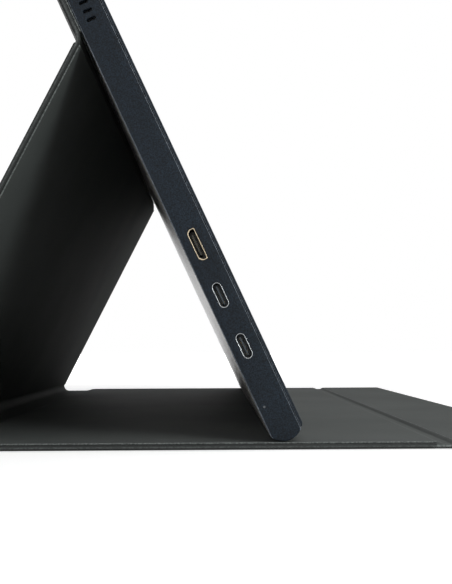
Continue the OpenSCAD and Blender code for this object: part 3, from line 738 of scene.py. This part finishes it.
@functools.cache
def row_tree():
    """Small bars with eased corners in a straight row, such as the contacts of a receptacle."""
    tree, given, out = new_tree("GeometryNodeTree", "bar_row", {
        "Count": ("Int", 12), "Pitch": ("Float", 0.0005), "Size": ("Vector", (0.0001, 0.003, 0.0002)),
        "Material": ("Material", None)}, {"Geometry": "Geometry"})

    def vector_math(operation, sockets, output=0):
        return add(tree, "ShaderNodeVectorMath", sockets, operation=operation).outputs[output]

    row = add(tree, "GeometryNodeMeshLine", {
        "Count": given["Count"], "Offset": together(tree, 0.0, 0.0, given["Pitch"])})
    bar = add(tree, "GeometryNodeMeshCube", {
        "Size": given["Size"], "Vertices X": 3, "Vertices Y": 3, "Vertices Z": 3})
    spot = add(tree, "GeometryNodeInputPosition").outputs[0]
    part = vector_math("DIVIDE", {0: spot, 1: vector_math("SCALE", {0: given["Size"], "Scale": 0.5})})
    at_corner = calc("GREATER_THAN", Field(vector_math("LENGTH", {0: part}, "Value")), 1.6)
    eased = add(tree, "GeometryNodeSetPosition", {
        "Geometry": bar.outputs["Mesh"],
        "Position": vector_math("SCALE", {0: spot, "Scale": 1.0 - at_corner * 0.14})})
    placed = add(tree, "GeometryNodeInstanceOnPoints", {"Points": row.outputs[0], "Instance": eased.outputs[0]})
    real = add(tree, "GeometryNodeRealizeInstances", {0: placed.outputs[0]})
    painted = add(tree, "GeometryNodeSetMaterial", {"Geometry": real.outputs[0], "Material": given["Material"]})
    feed(out[0], painted.outputs[0])
    return tree


def grown(name, tree, **values):
    """An object whose plain mesh comes from a Geometry Nodes tree with the given inputs."""
    obj = link(name, bpy.data.meshes.new(name))
    modifier = obj.modifiers.new("grow", "NODES")
    modifier.node_group = tree
    sockets = {item.name: item.identifier for item in tree.interface.items_tree if item.in_out == "INPUT"}
    for label, value in values.items():
        modifier[sockets[label.replace("_", " ")]] = value
    return bake_down(obj)


# Cover

def bend_sheet(obj, points, middle):
    """Lays a flat sheet, local X along its length, over a path of points in X and Z."""
    xs, zs = np.array(points).T
    steps = np.array([0.0, *np.cumsum([(b - a).length for a, b in zip(points, points[1:])])])
    tangents = np.gradient(np.stack([xs, zs], 1), steps, axis=0)
    tangents /= np.linalg.norm(tangents, axis=1)[:, None]
    co = np.empty(len(obj.data.vertices) * 3)
    obj.data.vertices.foreach_get("co", co)
    co = co.reshape(-1, 3)
    u = np.clip(co[:, 0], 0, steps[-1])
    tx, tz = np.interp(u, steps, tangents[:, 0]), np.interp(u, steps, tangents[:, 1])
    size = np.hypot(tx, tz)
    tx, tz = tx / size, tz / size
    over, extra = co[:, 2] - middle, co[:, 0] - u
    bent = np.stack([np.interp(u, steps, xs) + extra * tx - tz * over, co[:, 1],
                     np.interp(u, steps, zs) + extra * tz + tx * over], 1)
    obj.data.vertices.foreach_set("co", bent.ravel())
    obj.data.update()


def fold_path(corner, first, second, tangent, lead, tail, count=40, ends=12):
    """2-D points: a lead along the first direction, a round bend, a tail along the second."""
    inner = math.acos(max(-1.0, min(1.0, first.dot(second))))
    radius = tangent * math.tan(inner / 2)
    start, end = corner + first * tangent, corner + second * tangent
    centre = corner + (first + second).normalized() * (radius / math.sin(inner / 2))
    points = [start + first * lead * (1 - k / ends) for k in range(ends)]
    a0, a1 = start - centre, end - centre
    turn = math.atan2(a0.x * a1.y - a0.y * a1.x, a0.dot(a1))
    for k in range(count + 1):
        a = turn * k / count
        points.append(centre + Vector((a0.x * math.cos(a) - a0.y * math.sin(a),
                                       a0.x * math.sin(a) + a0.y * math.cos(a))))
    return points + [end + second * tail * (k / ends) for k in range(1, ends + 1)]


def swell(obj, floor, edge, way, reach, rise, half_width, fade):
    """Raises a sheet's upper face smoothly towards an edge across it, less so at the sheet's sides."""
    for vertex in obj.data.vertices:
        if vertex.co.z > floor:
            share = max(0.0, min(1.0, ((vertex.co.x - edge) * way + reach) / reach))
            side = max(0.0, min(1.0, (half_width - abs(vertex.co.y)) / fade))
            vertex.co.z += rise * share * share * (3 - 2 * share) * side ** 0.5


def flat(vector):
    return Vector((vector.x, vector.z))


def fold_sheet(name, points, thick, sizes, sides, along):
    """A soft strip of leather laid over a path."""
    length = sum((b - a).length for a, b in zip(points, points[1:]))
    low, high = span("rear_crease", BASE)
    obj = grown(name, panel_tree(), Length=length, Width=(high[1] - low[1]) * MM, Thickness=thick,
                Low_Corner=thick, High_Corner=thick, Border=sizes.border, Line_Depth=0.0,
                Wave=sizes.wave * 1.5, Recess=0.0, Rows_Along=along, Rows_Across=COLUMNS,
                Inner_Side=MATERIALS[sides[0]], Outer_Side=MATERIALS[sides[1]])
    bend_sheet(obj, points, thick / 2)
    return soft_shade(obj, 60)


# Settings

class CoverSettings(bpy.types.PropertyGroup):
    """Sizes of the folding cover."""
    corner: bpy.props.FloatProperty(
        name="Corner radius", description="Radius of the cover's corners in plan",
        default=0.0022, min=0.001, max=0.008, unit="LENGTH", precision=5)
    border: bpy.props.FloatProperty(
        name="Border", description="Distance of the pressed line from the edge",
        default=0.0046, min=0.002, max=0.008, unit="LENGTH", precision=5)
    line_depth: bpy.props.FloatProperty(
        name="Line depth", description="Depth of the pressed line",
        default=0.00003, min=0.0, max=0.0004, unit="LENGTH", precision=6)
    wave: bpy.props.FloatProperty(
        name="Waves", description="Height of the soft waves in the lining",
        default=0.00030, min=0.0, max=0.001, unit="LENGTH", precision=6)


class MonitorSettings(bpy.types.PropertyGroup):
    """Sizes of the monitor's edges and openings."""
    chamfer: bpy.props.FloatProperty(
        name="Chamfer", description="Chamfer along the outer edges",
        default=0.00024, min=0.0001, max=0.0008, unit="LENGTH", precision=5)
    seam: bpy.props.FloatProperty(
        name="Seam", description="Bevel along the seam",
        default=0.00016, min=0.00005, max=0.0003, unit="LENGTH", precision=5)
    mouth: bpy.props.FloatProperty(
        name="Mouth", description="Chamfer around each opening",
        default=0.00012, min=0.00002, max=0.0003, unit="LENGTH", precision=5)


class ToneSettings(bpy.types.PropertyGroup):
    """Colours of the finishes that show."""
    leather: bpy.props.FloatVectorProperty(
        name="Outer leather", description="Colour of the cover's outer side",
        default=(0.060, 0.064, 0.063), subtype="COLOR", size=3, min=0, max=1)
    lining: bpy.props.FloatVectorProperty(
        name="Lining", description="Colour of the cover's inner side",
        default=(0.0745, 0.0800, 0.0780), subtype="COLOR", size=3, min=0, max=1)
    housing: bpy.props.FloatVectorProperty(
        name="Housing", description="Colour of the monitor's housing",
        default=(0.0096, 0.0144, 0.0209), subtype="COLOR", size=3, min=0, max=1)
    plate: bpy.props.FloatVectorProperty(
        name="Back plate", description="Colour of the monitor's smooth back",
        default=(0.44, 0.43, 0.41), subtype="COLOR", size=3, min=0, max=1)
    bezel: bpy.props.FloatVectorProperty(
        name="Bezel", description="Colour of the frame round the screen",
        default=(0.0098, 0.0146, 0.0212), subtype="COLOR", size=3, min=0, max=1)


class StageSettings(bpy.types.PropertyGroup):
    """Powers of the lamps, and the background."""
    key_lamp: bpy.props.FloatProperty(
        name="Key lamp", description="Large lamp above the front",
        default=4.2, min=0.0, max=100.0, subtype="POWER")
    fill_lamp: bpy.props.FloatProperty(
        name="Fill lamp", description="Soft lamp behind the leg",
        default=1.5, min=0.0, max=100.0, subtype="POWER")
    front_lamp: bpy.props.FloatProperty(
        name="Front lamp", description="Lamp before the side with the ports",
        default=0.5, min=0.0, max=100.0, subtype="POWER")
    far_lamp: bpy.props.FloatProperty(
        name="Far lamp", description="Lamp past the far side",
        default=0.3, min=0.0, max=100.0, subtype="POWER")
    side_lamp: bpy.props.FloatProperty(
        name="Side lamp", description="Small lamp by the screen's near side",
        default=2.2, min=0.0, max=100.0, subtype="POWER")
    sky: bpy.props.FloatProperty(
        name="Sky", description="Strength of the light from all round",
        default=0.02, min=0.0, max=1.0, subtype="FACTOR")


# Operators

class MONITOR_OT_finishes(bpy.types.Operator):
    """Make the materials of every finish"""
    bl_idname = "monitor.finishes"
    bl_label = "Finishes"

    def execute(self, context):
        tones = context.scene.monitor_tones
        for name, (colour, *values, more) in FINISHES.items():
            colour = getattr(tones, colour) if isinstance(colour, str) else colour
            MATERIALS[name] = finish_material(name, colour, *values, **more)
        add_traces(MATERIALS["circuit_board"], FINISHES["circuit_board"][0])
        return {"FINISHED"}


class MONITOR_OT_cover_panels(bpy.types.Operator):
    """Grow the skins and linings of the four stiff panels"""
    bl_idname = "monitor.cover_panels"
    bl_label = "Cover panels"

    def execute(self, context):
        # Name, body, local frame, grid rows, and whether the low and the high end lie at a fold
        for stem, body, matrix, rows, folds in (
                ("base", "base", BASE, 63, (False, True)), ("leg", "leg", LEG, 57, (True, True)),
                ("back", "back_panel", BACK, 45, (True, False)), ("flap", "flap", FLAP, 39, (True, False))):
            for side, part, finish in (("outer", "skin", "outer_leather"), ("inner", "lining", "inner_lining")):
                node_name = f"{stem}_{part}"
                obj = self.slab(f"{stem}_{side}_{part}", node_name, matrix, rows, folds, finish,
                                context.scene.cover_sizes)
                belongs(obj, body, node_name)
        return {"FINISHED"}

    def slab(self, name, node_name, matrix, rows, folds, finish, sizes):
        """A sheet in a node's place that reaches past the board's ends at the folds."""
        low, high = span(node_name, matrix)
        low[0] = max(low[0], 0.0) - FOLD_LAP * folds[0]
        high[0] += FOLD_LAP * folds[1]
        is_skin = finish == "outer_leather"
        if not is_skin:
            low[2] = high[2] - LINING_T
        length, width, thick = high - low
        radii = [FOLD_CORNER * MM if fold else sizes.corner for fold in folds]
        obj = grown(name, panel_tree(), Length=length * MM, Width=width * MM, Thickness=thick * MM,
                    Low_Corner=radii[0], High_Corner=radii[1], Border=sizes.border,
                    Line_Depth=0.0 if is_skin else sizes.line_depth, Wave=0.0 if is_skin else sizes.wave,
                    Recess=BOARD_T * MM if is_skin else 0.0, Rows_Along=rows, Rows_Across=COLUMNS,
                    Inner_Side=MATERIALS[finish], Outer_Side=MATERIALS[finish])
        obj.data.transform(matrix @ Matrix.Translation(Vector((low[0], 0, low[2])) * MM))
        return soft_shade(obj, 60)


class MONITOR_OT_folds(bpy.types.Operator):
    """Lay the soft leather over the rear fold, the upper fold and the groove"""
    bl_idname = "monitor.folds"
    bl_label = "Folds"

    def execute(self, context):
        sizes = context.scene.cover_sizes
        self.rear(sizes)
        self.upper(sizes)
        self.groove(sizes)
        return {"FINISHED"}

    def joins(self, obj, corner, ways, strip, bodies, node_name):
        """Bakes a sheet's placement into its mesh and hides the CAD node whose place it takes."""
        start, end = (corner + way * strip * MM for way in ways)
        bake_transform(obj)
        belongs(obj, None, node_name)

    def rear(self, sizes):
        """Round the rear fold, with the lining rising over the edge of the base panel's board."""
        corner, apex = flat(joint_at("stand_fold")), flat(joint_at("monitor_tilt"))
        ways = Vector((1, 0)), (apex - corner).normalized()
        edge = BASE.translation.x
        lead = edge - corner.x - REAR_STRIP * MM + 0.003
        points = fold_path(corner, *ways, REAR_STRIP * MM, lead, TUCK * MM)
        obj = fold_sheet("rear_fold_leather", points, STRIP_T * MM, sizes, ("outer_leather", "inner_lining"), 71)
        swell(obj, STRIP_T / 2 * MM, edge, 1, 0.0055, 1.13 * MM, HALF_W * MM + 0.0008, 0.0008)
        self.joins(obj, corner, ways, REAR_STRIP, ("base", "leg"), "rear_crease")

    def upper(self, sizes):
        corner, rear = flat(joint_at("monitor_tilt")), flat(joint_at("stand_fold"))
        ways = (rear - corner).normalized(), flat(axis_of(MONITOR, 2)).normalized()
        points = fold_path(corner, *ways, APEX_STRIP * MM, TUCK * MM, TUCK * MM)
        obj = fold_sheet("upper_fold_leather", points, STRIP_T * MM, sizes, ("inner_lining", "outer_leather"), 61)
        self.joins(obj, corner, ways, APEX_STRIP, ("leg", "back_panel"), "apex_crease")

    def groove(self, sizes):
        """A shallow valley: a gentle rise to the base panel and a steeper one to the flap."""
        low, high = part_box("groove_strip")
        lift, thick, count = 0.00005, 0.0014, 40
        floor, long = lift + thick / 2, high.x - low.x + 2 * TUCK * MM
        points = [Vector((low.x - TUCK * MM + long * k / count, floor)) for k in range(count + 1)]
        obj = fold_sheet("groove_leather", points, thick, sizes, ("inner_lining", "outer_leather"), 81)
        for edge, way, reach in ((low.x + FOLD_LAP * MM, -1, 0.0024), (high.x - FOLD_LAP * MM, 1, 0.0017)):
            swell(obj, floor, edge, way, reach, 0.00083, HALF_W * MM, 0.0012)
        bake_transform(obj)
        belongs(obj, None, "groove_strip")


def monitor_rings(sizes, section_at):
    """Rings of a monitor half, from side face to side face; section_at takes the distance from the face."""
    c, s = sizes.chamfer / MM, sizes.seam / MM
    steps = [(0.0, c + 0.05), (0.03, c - 0.02), (s, c + 0.01 - s), (c - 0.02, 0.03), (c + 0.05, 0.0),
             (c + 0.3, 0.0)]
    return [across(section_at(y, inset, s), side * (HALF_W - y))
            for side, order in ((-1, steps), (1, steps[::-1])) for y, inset in order]


def paint_sides(obj):
    """Second material on the monitor's smooth back, third, a painted highlight, on the back edge's and the seam's
    bevels.
    """
    forward, turn = axis_of(MONITOR, 0), MONITOR.inverted()
    for face in obj.data.polygons:
        middle, ahead = (turn @ face.center) / MM, face.normal.dot(forward)
        bevel, side = 0.25 < abs(face.normal.y) < 0.95, abs(middle.y)
        if ahead < -0.98 and middle.x < 0.2:
            face.material_index = 1
        elif bevel and side > HALF_W - 0.5 and middle.x < 0.5:
            face.material_index = 2
        elif bevel and side > HALF_W - 0.3 and abs(middle.x - SEAM_T) < 0.5 and abs(ahead) > 0.3:
            face.material_index = 2


def finish_half(obj, slot, plate, node_name):
    """Puts a monitor half in place, with its materials and its body."""
    obj.data.transform(MONITOR)
    # The third material paints a highlight on the back edge's and the seam's bevels
    give(obj, slot, plate, "edge_line")
    paint_sides(obj)
    soft_shade(obj, 24)
    belongs(obj, "monitor", node_name)


class MONITOR_OT_housing(bpy.types.Operator):
    """Build the rear housing with its seam, chamfers, openings, inner ribs and bosses"""
    bl_idname = "monitor.housing"
    bl_label = "Rear housing"

    def execute(self, context):
        sizes = context.scene.monitor_sizes
        side_in = HALF_W - WALL

        def section_at(y, inset, seam):
            return section_outline(inset, 0.0, SEAM_T - max(0.0, seam - y), seam)

        shell = mesh_object("housing_shell", *loft(monitor_rings(sizes, section_at)))
        hollow = block((WALL, -side_in, END_WALL), (MON_T * 2, side_in, MON_H - END_WALL))
        cut_away(shell, mesh_object("hollow", *hollow))
        cut_away(shell, mesh_object("openings", *merged(self.openings(sizes.mouth / MM))))
        finish_half(joined("housing_shell", [shell, self.inner_forms(side_in)]), "housing_plastic", "back_plate",
                    "rear_housing")
        return {"FINISHED"}

    def inner_forms(self, side_in, off=0.02):
        """The ribs, screw bosses and pivot post of the solid, cut out inside its walls."""
        mesh = NODES["rear_housing"].data.copy()
        mesh.transform(MONITOR.inverted())
        bm = bmesh.new()
        bm.from_mesh(mesh)
        bmesh.ops.remove_doubles(bm, verts=bm.verts, dist=1e-7)
        bm.to_mesh(mesh)
        bm.free()
        forms = link("inner_forms", mesh)
        room = block((WALL - 0.05, -side_in + off, END_WALL + off), (MON_T, side_in - off, MON_H - END_WALL - off))
        cut_away(forms, mesh_object("room", *room), "INTERSECT")
        forms.data.materials.clear()
        return forms

    def openings(self, mouth):
        """Cutters for the ports, the light, the jack, the keys and the speakers' slots."""
        def data_hole(grow):
            return data_outline(0.1 + grow)

        holes = [
            (data_hole, PORT_DEPTH, PORT_FIRST, -1),
            (data_hole, PORT_DEPTH, PORT_FIRST + PORT_PITCH, -1),
            (lambda grow: video_outline(0.1 + grow), PORT_DEPTH, PORT_FIRST + 2 * PORT_PITCH, -1),
            (lambda grow: circle(LIGHT_R + grow), LIGHT_DEPTH, LIGHT_UP, -1),
            (lambda grow: circle(JACK_R + grow), JACK_DEPTH, JACK_UP, 1),
            (lambda grow: stadium(2.9, 8.5, grow), PORT_DEPTH, POWER_UP, 1),
            (lambda grow: stadium(2.9, 20.5, grow), PORT_DEPTH, ROCKER_UP, 1),
        ]
        for i in range(SLOT_COUNT):
            up = MON_H - SPEAKER_TOP + (i - (SLOT_COUNT - 1) / 2) * SLOT_PITCH
            holes += [(slot_outline, PORT_DEPTH, up, side) for side in (-1, 1)]
        return [side_cutter(*hole, mouth) for hole in holes]


class MONITOR_OT_bezel(bpy.types.Operator):
    """Build the front bezel with its opening for the screen and its lip"""
    bl_idname = "monitor.bezel"
    bl_label = "Front bezel"

    def execute(self, context):
        def section_at(y, inset, seam):
            start = SEAM_T + SEAM_GAP + max(0.0, seam - y)
            return section_outline(inset, start, MON_T, seam, face=max(0.0, FRONT_CHAMFER - y))

        bezel = mesh_object("bezel_front", *loft(monitor_rings(context.scene.monitor_sizes, section_at)))
        opening = [[(t, y, h) for y, h in self.opening(grow)]
                   for t, grow in ((SEAM_T - 1.0, 0.0), (MON_T - 0.35, 0.0), (MON_T + 0.2, 0.55))]
        cut_away(bezel, mesh_object("opening", *loft(opening)))
        side, low, high = HALF_W - WALL - 0.1, END_WALL + 0.1, MON_H - END_WALL - 0.1
        lip, back = 1.0, span("front_bezel", MONITOR)[0][0]
        rim = mesh_object("lip", *block((back, -side, low), (SEAM_T + SEAM_GAP + 0.1, side, high)))
        inside = block((back - 1, -side + lip, low + lip), (MON_T, side - lip, high - lip))
        cut_away(rim, mesh_object("inside", *inside))
        finish_half(joined("front_frame", [bezel, rim]), "bezel_plastic", "bezel_plastic", "front_bezel")
        return {"FINISHED"}

    def opening(self, grow, inside=0.1, radius=0.8):
        """Corners of the opening, a little inside the light guide's sheets and slightly rounded."""
        low, high = span("light_guide", MONITOR)
        y1, h0, h1 = high[1] - inside + grow, low[2] + inside - grow, high[2] - inside + grow
        points = []
        for cy, ch, ways, start in ((y1, h1, (1, 1), 0), (-y1, h1, (-1, 1), 90), (-y1, h0, (-1, -1), 180),
                                    (y1, h0, (1, -1), 270)):
            points += round_corner((cy, ch), ways, radius, start, 90, 6)
        return points


class MONITOR_OT_ports(bpy.types.Operator):
    """Build the receptacles' shells and their tongues with contacts"""
    bl_idname = "monitor.ports"
    bl_label = "Ports"

    def execute(self, context):
        # Length, wall and metal of the shell; width and thickness of the tongue, and where its block starts;
        # count, pitch, length and width of the contacts
        data = (data_outline, 7.55, 0.22, "port_steel", "tongue_plastic", (6.69, 0.7), 6.15, (12, 0.5, 3.2, 0.26))
        video = (video_outline, 7.75, 0.3, "port_gold", "video_tongue_plastic", (7.6, 0.8), 6.35,
                 (10, 0.76, 3.4, 0.34))
        for i, (kind, which, values) in enumerate((("data", "_lower", data), ("data", "_upper", data),
                                                   ("video", "", video))):
            self.port(kind, which, PORT_FIRST + i * PORT_PITCH, *values)
        return {"FINISHED"}

    def port(self, kind, which, up, outline_at, length, wall, metal, plastic, tongue, root, contacts):
        self.shell(f"{kind}_shell{which}", outline_at, up, length, wall, metal, f"{kind}_port_shell{which}")
        self.tongue(f"{kind}_tongue{which}", outline_at(-0.35), up, tongue, root, length, plastic,
                    f"{kind}_port_tongue{which}")
        self.contacts(f"{kind}_contacts{which}", up, tongue[1], *contacts)

    def shell(self, name, outline_at, up, length, wall, metal, node_name):
        """Sheet metal ring with a rolled front lip; its inner wall and back end are painted near black as shade."""
        inset, lip = 0.15, 0.09
        profile = [(length, 0.0), (inset + lip, 0.0), (inset + 0.03, -0.03), (inset, -lip), (inset, -wall + lip),
                   (inset + 0.03, -wall + 0.03), (inset + lip, -wall), (length, -wall)]
        rings = [across(outline_at(grow), -HALF_W + depth, PORT_DEPTH, up) for depth, grow in profile]
        obj = mesh_object(name, *ring_tube(rings), matrix=MONITOR)
        give(obj, metal, "shell_inside")
        # The inner wall and the back end are painted near black as shade
        for face in obj.data.polygons[(len(rings) - 2) * len(rings[0]):]:
            face.material_index = 1
        soft_shade(obj, 50)
        belongs(obj, "monitor", node_name)

    def tongue(self, name, outline, up, size, root, depth, plastic, node_name, front=1.25):
        """Rounded tongue that stands on a moulded block."""
        ends = [(front, -0.12), (front + 0.05, -0.05), (front + 0.14, 0.0), (root + 0.1, 0.0)]
        bar = loft([across(bar_outline(*size, grow), -HALF_W + y, PORT_DEPTH, up) for y, grow in ends])
        base = loft([across(outline, -HALF_W + y, PORT_DEPTH, up) for y in (root, depth)])
        obj = mesh_object(name, *merged([bar, base]), matrix=MONITOR)
        give(obj, plastic)
        soft_shade(obj, 40)
        belongs(obj, "monitor", node_name)

    def contacts(self, name, up, tongue_t, count, pitch, long, wide, thick=0.06, front=1.5):
        rows = []
        for side, suffix in ((-1, "_back"), (1, "_front")):
            row = grown(name + suffix, row_tree(), Count=count, Pitch=pitch * MM,
                        Size=(thick * MM, long * MM, wide * MM), Material=MATERIALS["contact_gold"])
            place = Vector((PORT_DEPTH + side * tongue_t / 2, -HALF_W + front + long / 2,
                            up - pitch * (count - 1) / 2)) * MM
            row.data.transform(MONITOR @ Matrix.Translation(place))
            rows.append(row)
        belongs(joined(name, rows), "monitor")


class MONITOR_OT_keys(bpy.types.Operator):
    """Build the power key and the rocker key with domed tops"""
    bl_idname = "monitor.keys"
    bl_label = "Keys"

    def execute(self, context):
        self.key("power_button", POWER_UP, 8.0, 0.0, "power_key")
        self.key("volume_rocker", ROCKER_UP, 20.0, 0.4, "rocker_key")
        return {"FINISHED"}

    def key(self, name, up, long, sway, node_name):
        """Domed cap on its flange, which leaves room under the wall for a tilting key's sway."""
        top = span(node_name, MONITOR)[1][1]
        profile = ((0.0, -0.55), (0.02, -0.35), (0.07, -0.17), (0.16, -0.05), (0.3, 0.0), (2.4 + sway, 0.0))
        cap = [across(stadium(2.4, long, grow), top - drop, PORT_DEPTH, up) for drop, grow in profile]
        under, half_t, half = top - KEY_PROUD - WALL, 1.8, long / 2 + 1
        flange = block((PORT_DEPTH - half_t, under - 1.0, up - half),
                       (PORT_DEPTH + half_t, under - 0.15 - sway, up + half))
        obj = mesh_object(name, *merged([loft(cap), flange]), matrix=MONITOR)
        give(obj, "key_plastic")
        soft_shade(obj, 40)
        belongs(obj, node_name, node_name)


INNER_FINISHES = {
    "stiff_board": ("base_board", "leg_board", "back_board", "flap_board"),
    "magnet_steel": ("back_magnets", "flap_magnets", "bezel_magnets", "magnet_plates"),
    "black_tape": ("screen_tape",),
    "screen_film": ("lcd_cell",),
    "optic_sheet": ("diffuser_sheets", "light_guide", "reflector_sheet"),
    "lamp_strip": ("led_strip", "status_led"),
    "tray_metal": ("panel_tray", "chip_shield"),
    "circuit_board": ("driver_board", "main_board", "side_board"),
    "chip_plastic": ("board_chips", "key_switches"),
    "speaker_mesh": ("speaker_near", "speaker_far"),
    "screw_steel": ("board_screws",),
    "port_plastic": ("audio_jack",),
    "cable_film": ("panel_cable", "side_cable"),
    "wire_red": ("speaker_wires",),
    "light_lens": ("status_light_pipe",),
}


class MONITOR_OT_inner_parts(bpy.types.Operator):
    """Give each carried-over solid its finish"""
    bl_idname = "monitor.inner_parts"
    bl_label = "Inner parts"

    def execute(self, context):
        for finish, names in INNER_FINISHES.items():
            for name in names:
                give(NODES[name], finish)
        return {"FINISHED"}


# Place, target, diameter and colour of each lamp, in metres
LAMPS = {
    "key_lamp": ((0.35, -0.25, 0.75), (0.02, 0.0, 0.05), 0.9, (1.0, 1.0, 1.0)),
    "fill_lamp": ((-0.75, -0.55, 0.45), (-0.05, 0.0, 0.06), 0.7, (1.0, 1.0, 1.0)),
    "front_lamp": ((-0.22, -0.95, 0.22), (-0.05, -0.1, 0.05), 0.5, (1.0, 1.0, 1.0)),
    "far_lamp": ((-0.10, 0.95, 0.30), (-0.05, 0.1, 0.03), 0.7, (1.0, 1.0, 1.0)),
    "side_lamp": ((0.55, -0.62, 0.26), (-0.06, -0.15, 0.06), 0.3, (0.94, 1.0, 0.99)),
}


def seen_directly(tree):
    """1 for rays from the camera, from mirror-like surfaces and through clear ones, else 0."""
    ray = add(tree, "ShaderNodeLightPath").outputs
    others = Field(ray["Is Glossy Ray"]) + Field(ray["Is Transmission Ray"])
    return calc("ADD", Field(ray["Is Camera Ray"]), others, clamp=True)


class MONITOR_OT_stage(bpy.types.Operator):
    """Set the floor, the background, the lamps and the camera"""
    bl_idname = "monitor.stage"
    bl_label = "Stage"

    def execute(self, context):
        self.floor()
        self.background(context.scene.stage_settings.sky)
        for name, (place, target, size, colour) in LAMPS.items():
            self.lamp(name, place, target, size, colour, getattr(context.scene.stage_settings, name))
        self.camera()
        context.scene.view_settings.view_transform = "Standard"
        return {"FINISHED"}

    def floor(self, size=3.0, steps=8, below=0.0002):
        """A pale floor whose own light keeps it near white, more so away from the part."""
        count = steps + 1
        verts = [(size * (2 * i / steps - 1), size * (2 * j / steps - 1), -below)
                 for i in range(count) for j in range(count)]
        corners_at = [i * count + j for i in range(steps) for j in range(steps)]
        obj = mesh_object("floor", verts, [(a, a + count, a + count + 1, a + 1) for a in corners_at], scale=1.0)
        material = bpy.data.materials.new("pale_floor")
        material.use_nodes = True
        tree = material.node_tree
        shader = tree.nodes["Principled BSDF"]
        place = add(tree, "ShaderNodeTexCoord").outputs["Object"]
        tone = use_group(tree, mottle_group(), place, Cloud_Scale=4.0, Fine_Scale=700.0)
        feed(shader.inputs["Base Color"], mix_colour(tree, tone["Cloud"], (0.59,) * 3, (0.61,) * 3))
        feed(shader.inputs["Roughness"], 0.6)
        feed(shader.inputs["Specular IOR Level"], 0.2)
        away = add(tree, "ShaderNodeVectorMath", {0: place}, operation="LENGTH").outputs["Value"]
        level = seen_directly(tree) * ramp(tree, away, 0.25, 0.7, 0.63, 1.4, "SMOOTHSTEP")
        lift = add(tree, "ShaderNodeEmission", {"Strength": level})
        mixed = add(tree, "ShaderNodeAddShader", {0: shader.outputs[0], 1: lift.outputs[0]})
        feed(tree.nodes["Material Output"].inputs["Surface"], mixed.outputs[0])
        obj.data.materials.append(material)

    def background(self, strength):
        """White where it is seen or mirrored, and dim as a light."""
        world = bpy.data.worlds.new("white_room")
        bpy.context.scene.world = world
        world.use_nodes = True
        tree = world.node_tree
        tree.nodes.clear()
        dim, white = (add(tree, "ShaderNodeBackground", {"Color": (1.0, 1.0, 1.0, 1.0), "Strength": power})
                      for power in (strength, 1.0))
        mixed = add(tree, "ShaderNodeMixShader", {0: seen_directly(tree), 1: dim.outputs[0], 2: white.outputs[0]})
        add(tree, "ShaderNodeOutputWorld", {"Surface": mixed.outputs[0]})

    def lamp(self, name, place, target, size, colour, power):
        light = bpy.data.lights.new(name, "AREA")
        light.shape = "DISK"
        light.size = size
        light.energy = power
        light.color = colour
        obj = link(name, light)
        obj.location = place
        obj.rotation_euler = (Vector(target) - Vector(place)).to_track_quat("-Z", "Y").to_euler()

    def camera(self):
        """The photograph's camera, as solved from the part's edges in it."""
        yaw, pitch, roll = (math.radians(a) for a in (0.768, 3.488, -0.262))
        forward = Vector((math.sin(yaw) * math.cos(pitch), math.cos(yaw) * math.cos(pitch), math.sin(pitch)))
        right = Vector((math.cos(yaw), -math.sin(yaw), 0))
        up = right.cross(forward)
        right, up = (math.cos(roll) * right + math.sin(roll) * up, -math.sin(roll) * right + math.cos(roll) * up)
        data = bpy.data.cameras.new("camera")
        data.sensor_width = 36.0
        data.lens = 53.474
        data.clip_start = 0.01
        data.clip_end = 20.0
        obj = link("camera", data)
        obj.matrix_world = frame_matrix(right, up, -forward, Vector((0.00852, -0.4652, 0.03428)))
        bpy.context.scene.camera = obj


OPERATORS = (MONITOR_OT_finishes, MONITOR_OT_cover_panels, MONITOR_OT_folds, MONITOR_OT_housing, MONITOR_OT_bezel,
             MONITOR_OT_ports, MONITOR_OT_keys, MONITOR_OT_inner_parts, MONITOR_OT_stage)
SETTINGS = (("cover_sizes", CoverSettings), ("monitor_sizes", MonitorSettings), ("monitor_tones", ToneSettings),
            ("stage_settings", StageSettings))


class MONITOR_PT_build(bpy.types.Panel):
    """Buttons that build the dressed monitor piece by piece"""
    bl_idname = "MONITOR_PT_build"
    bl_label = "Portable monitor"
    bl_space_type = "VIEW_3D"
    bl_region_type = "UI"
    bl_category = "Monitor"

    def draw(self, context):
        layout = self.layout
        for name, group in SETTINGS:
            box = layout.box()
            for key in group.__annotations__:
                box.prop(getattr(context.scene, name), key)
        for operator in OPERATORS:
            layout.operator(operator.bl_idname)


def register():
    for name, group in SETTINGS:
        bpy.utils.register_class(group)
        setattr(bpy.types.Scene, name, bpy.props.PointerProperty(type=group))
    for cls in OPERATORS + (MONITOR_PT_build,):
        bpy.utils.register_class(cls)


def unregister():
    for cls in reversed(OPERATORS + (MONITOR_PT_build,)):
        bpy.utils.unregister_class(cls)
    for name, group in reversed(SETTINGS):
        delattr(bpy.types.Scene, name)
        bpy.utils.unregister_class(group)


def main():
    register()
    bpy.ops.monitor.finishes()
    bpy.ops.monitor.cover_panels()
    bpy.ops.monitor.folds()
    bpy.ops.monitor.housing()
    bpy.ops.monitor.bezel()
    bpy.ops.monitor.ports()
    bpy.ops.monitor.keys()
    bpy.ops.monitor.inner_parts()
    bpy.ops.monitor.stage()


if __name__ == "__main__":
    main()
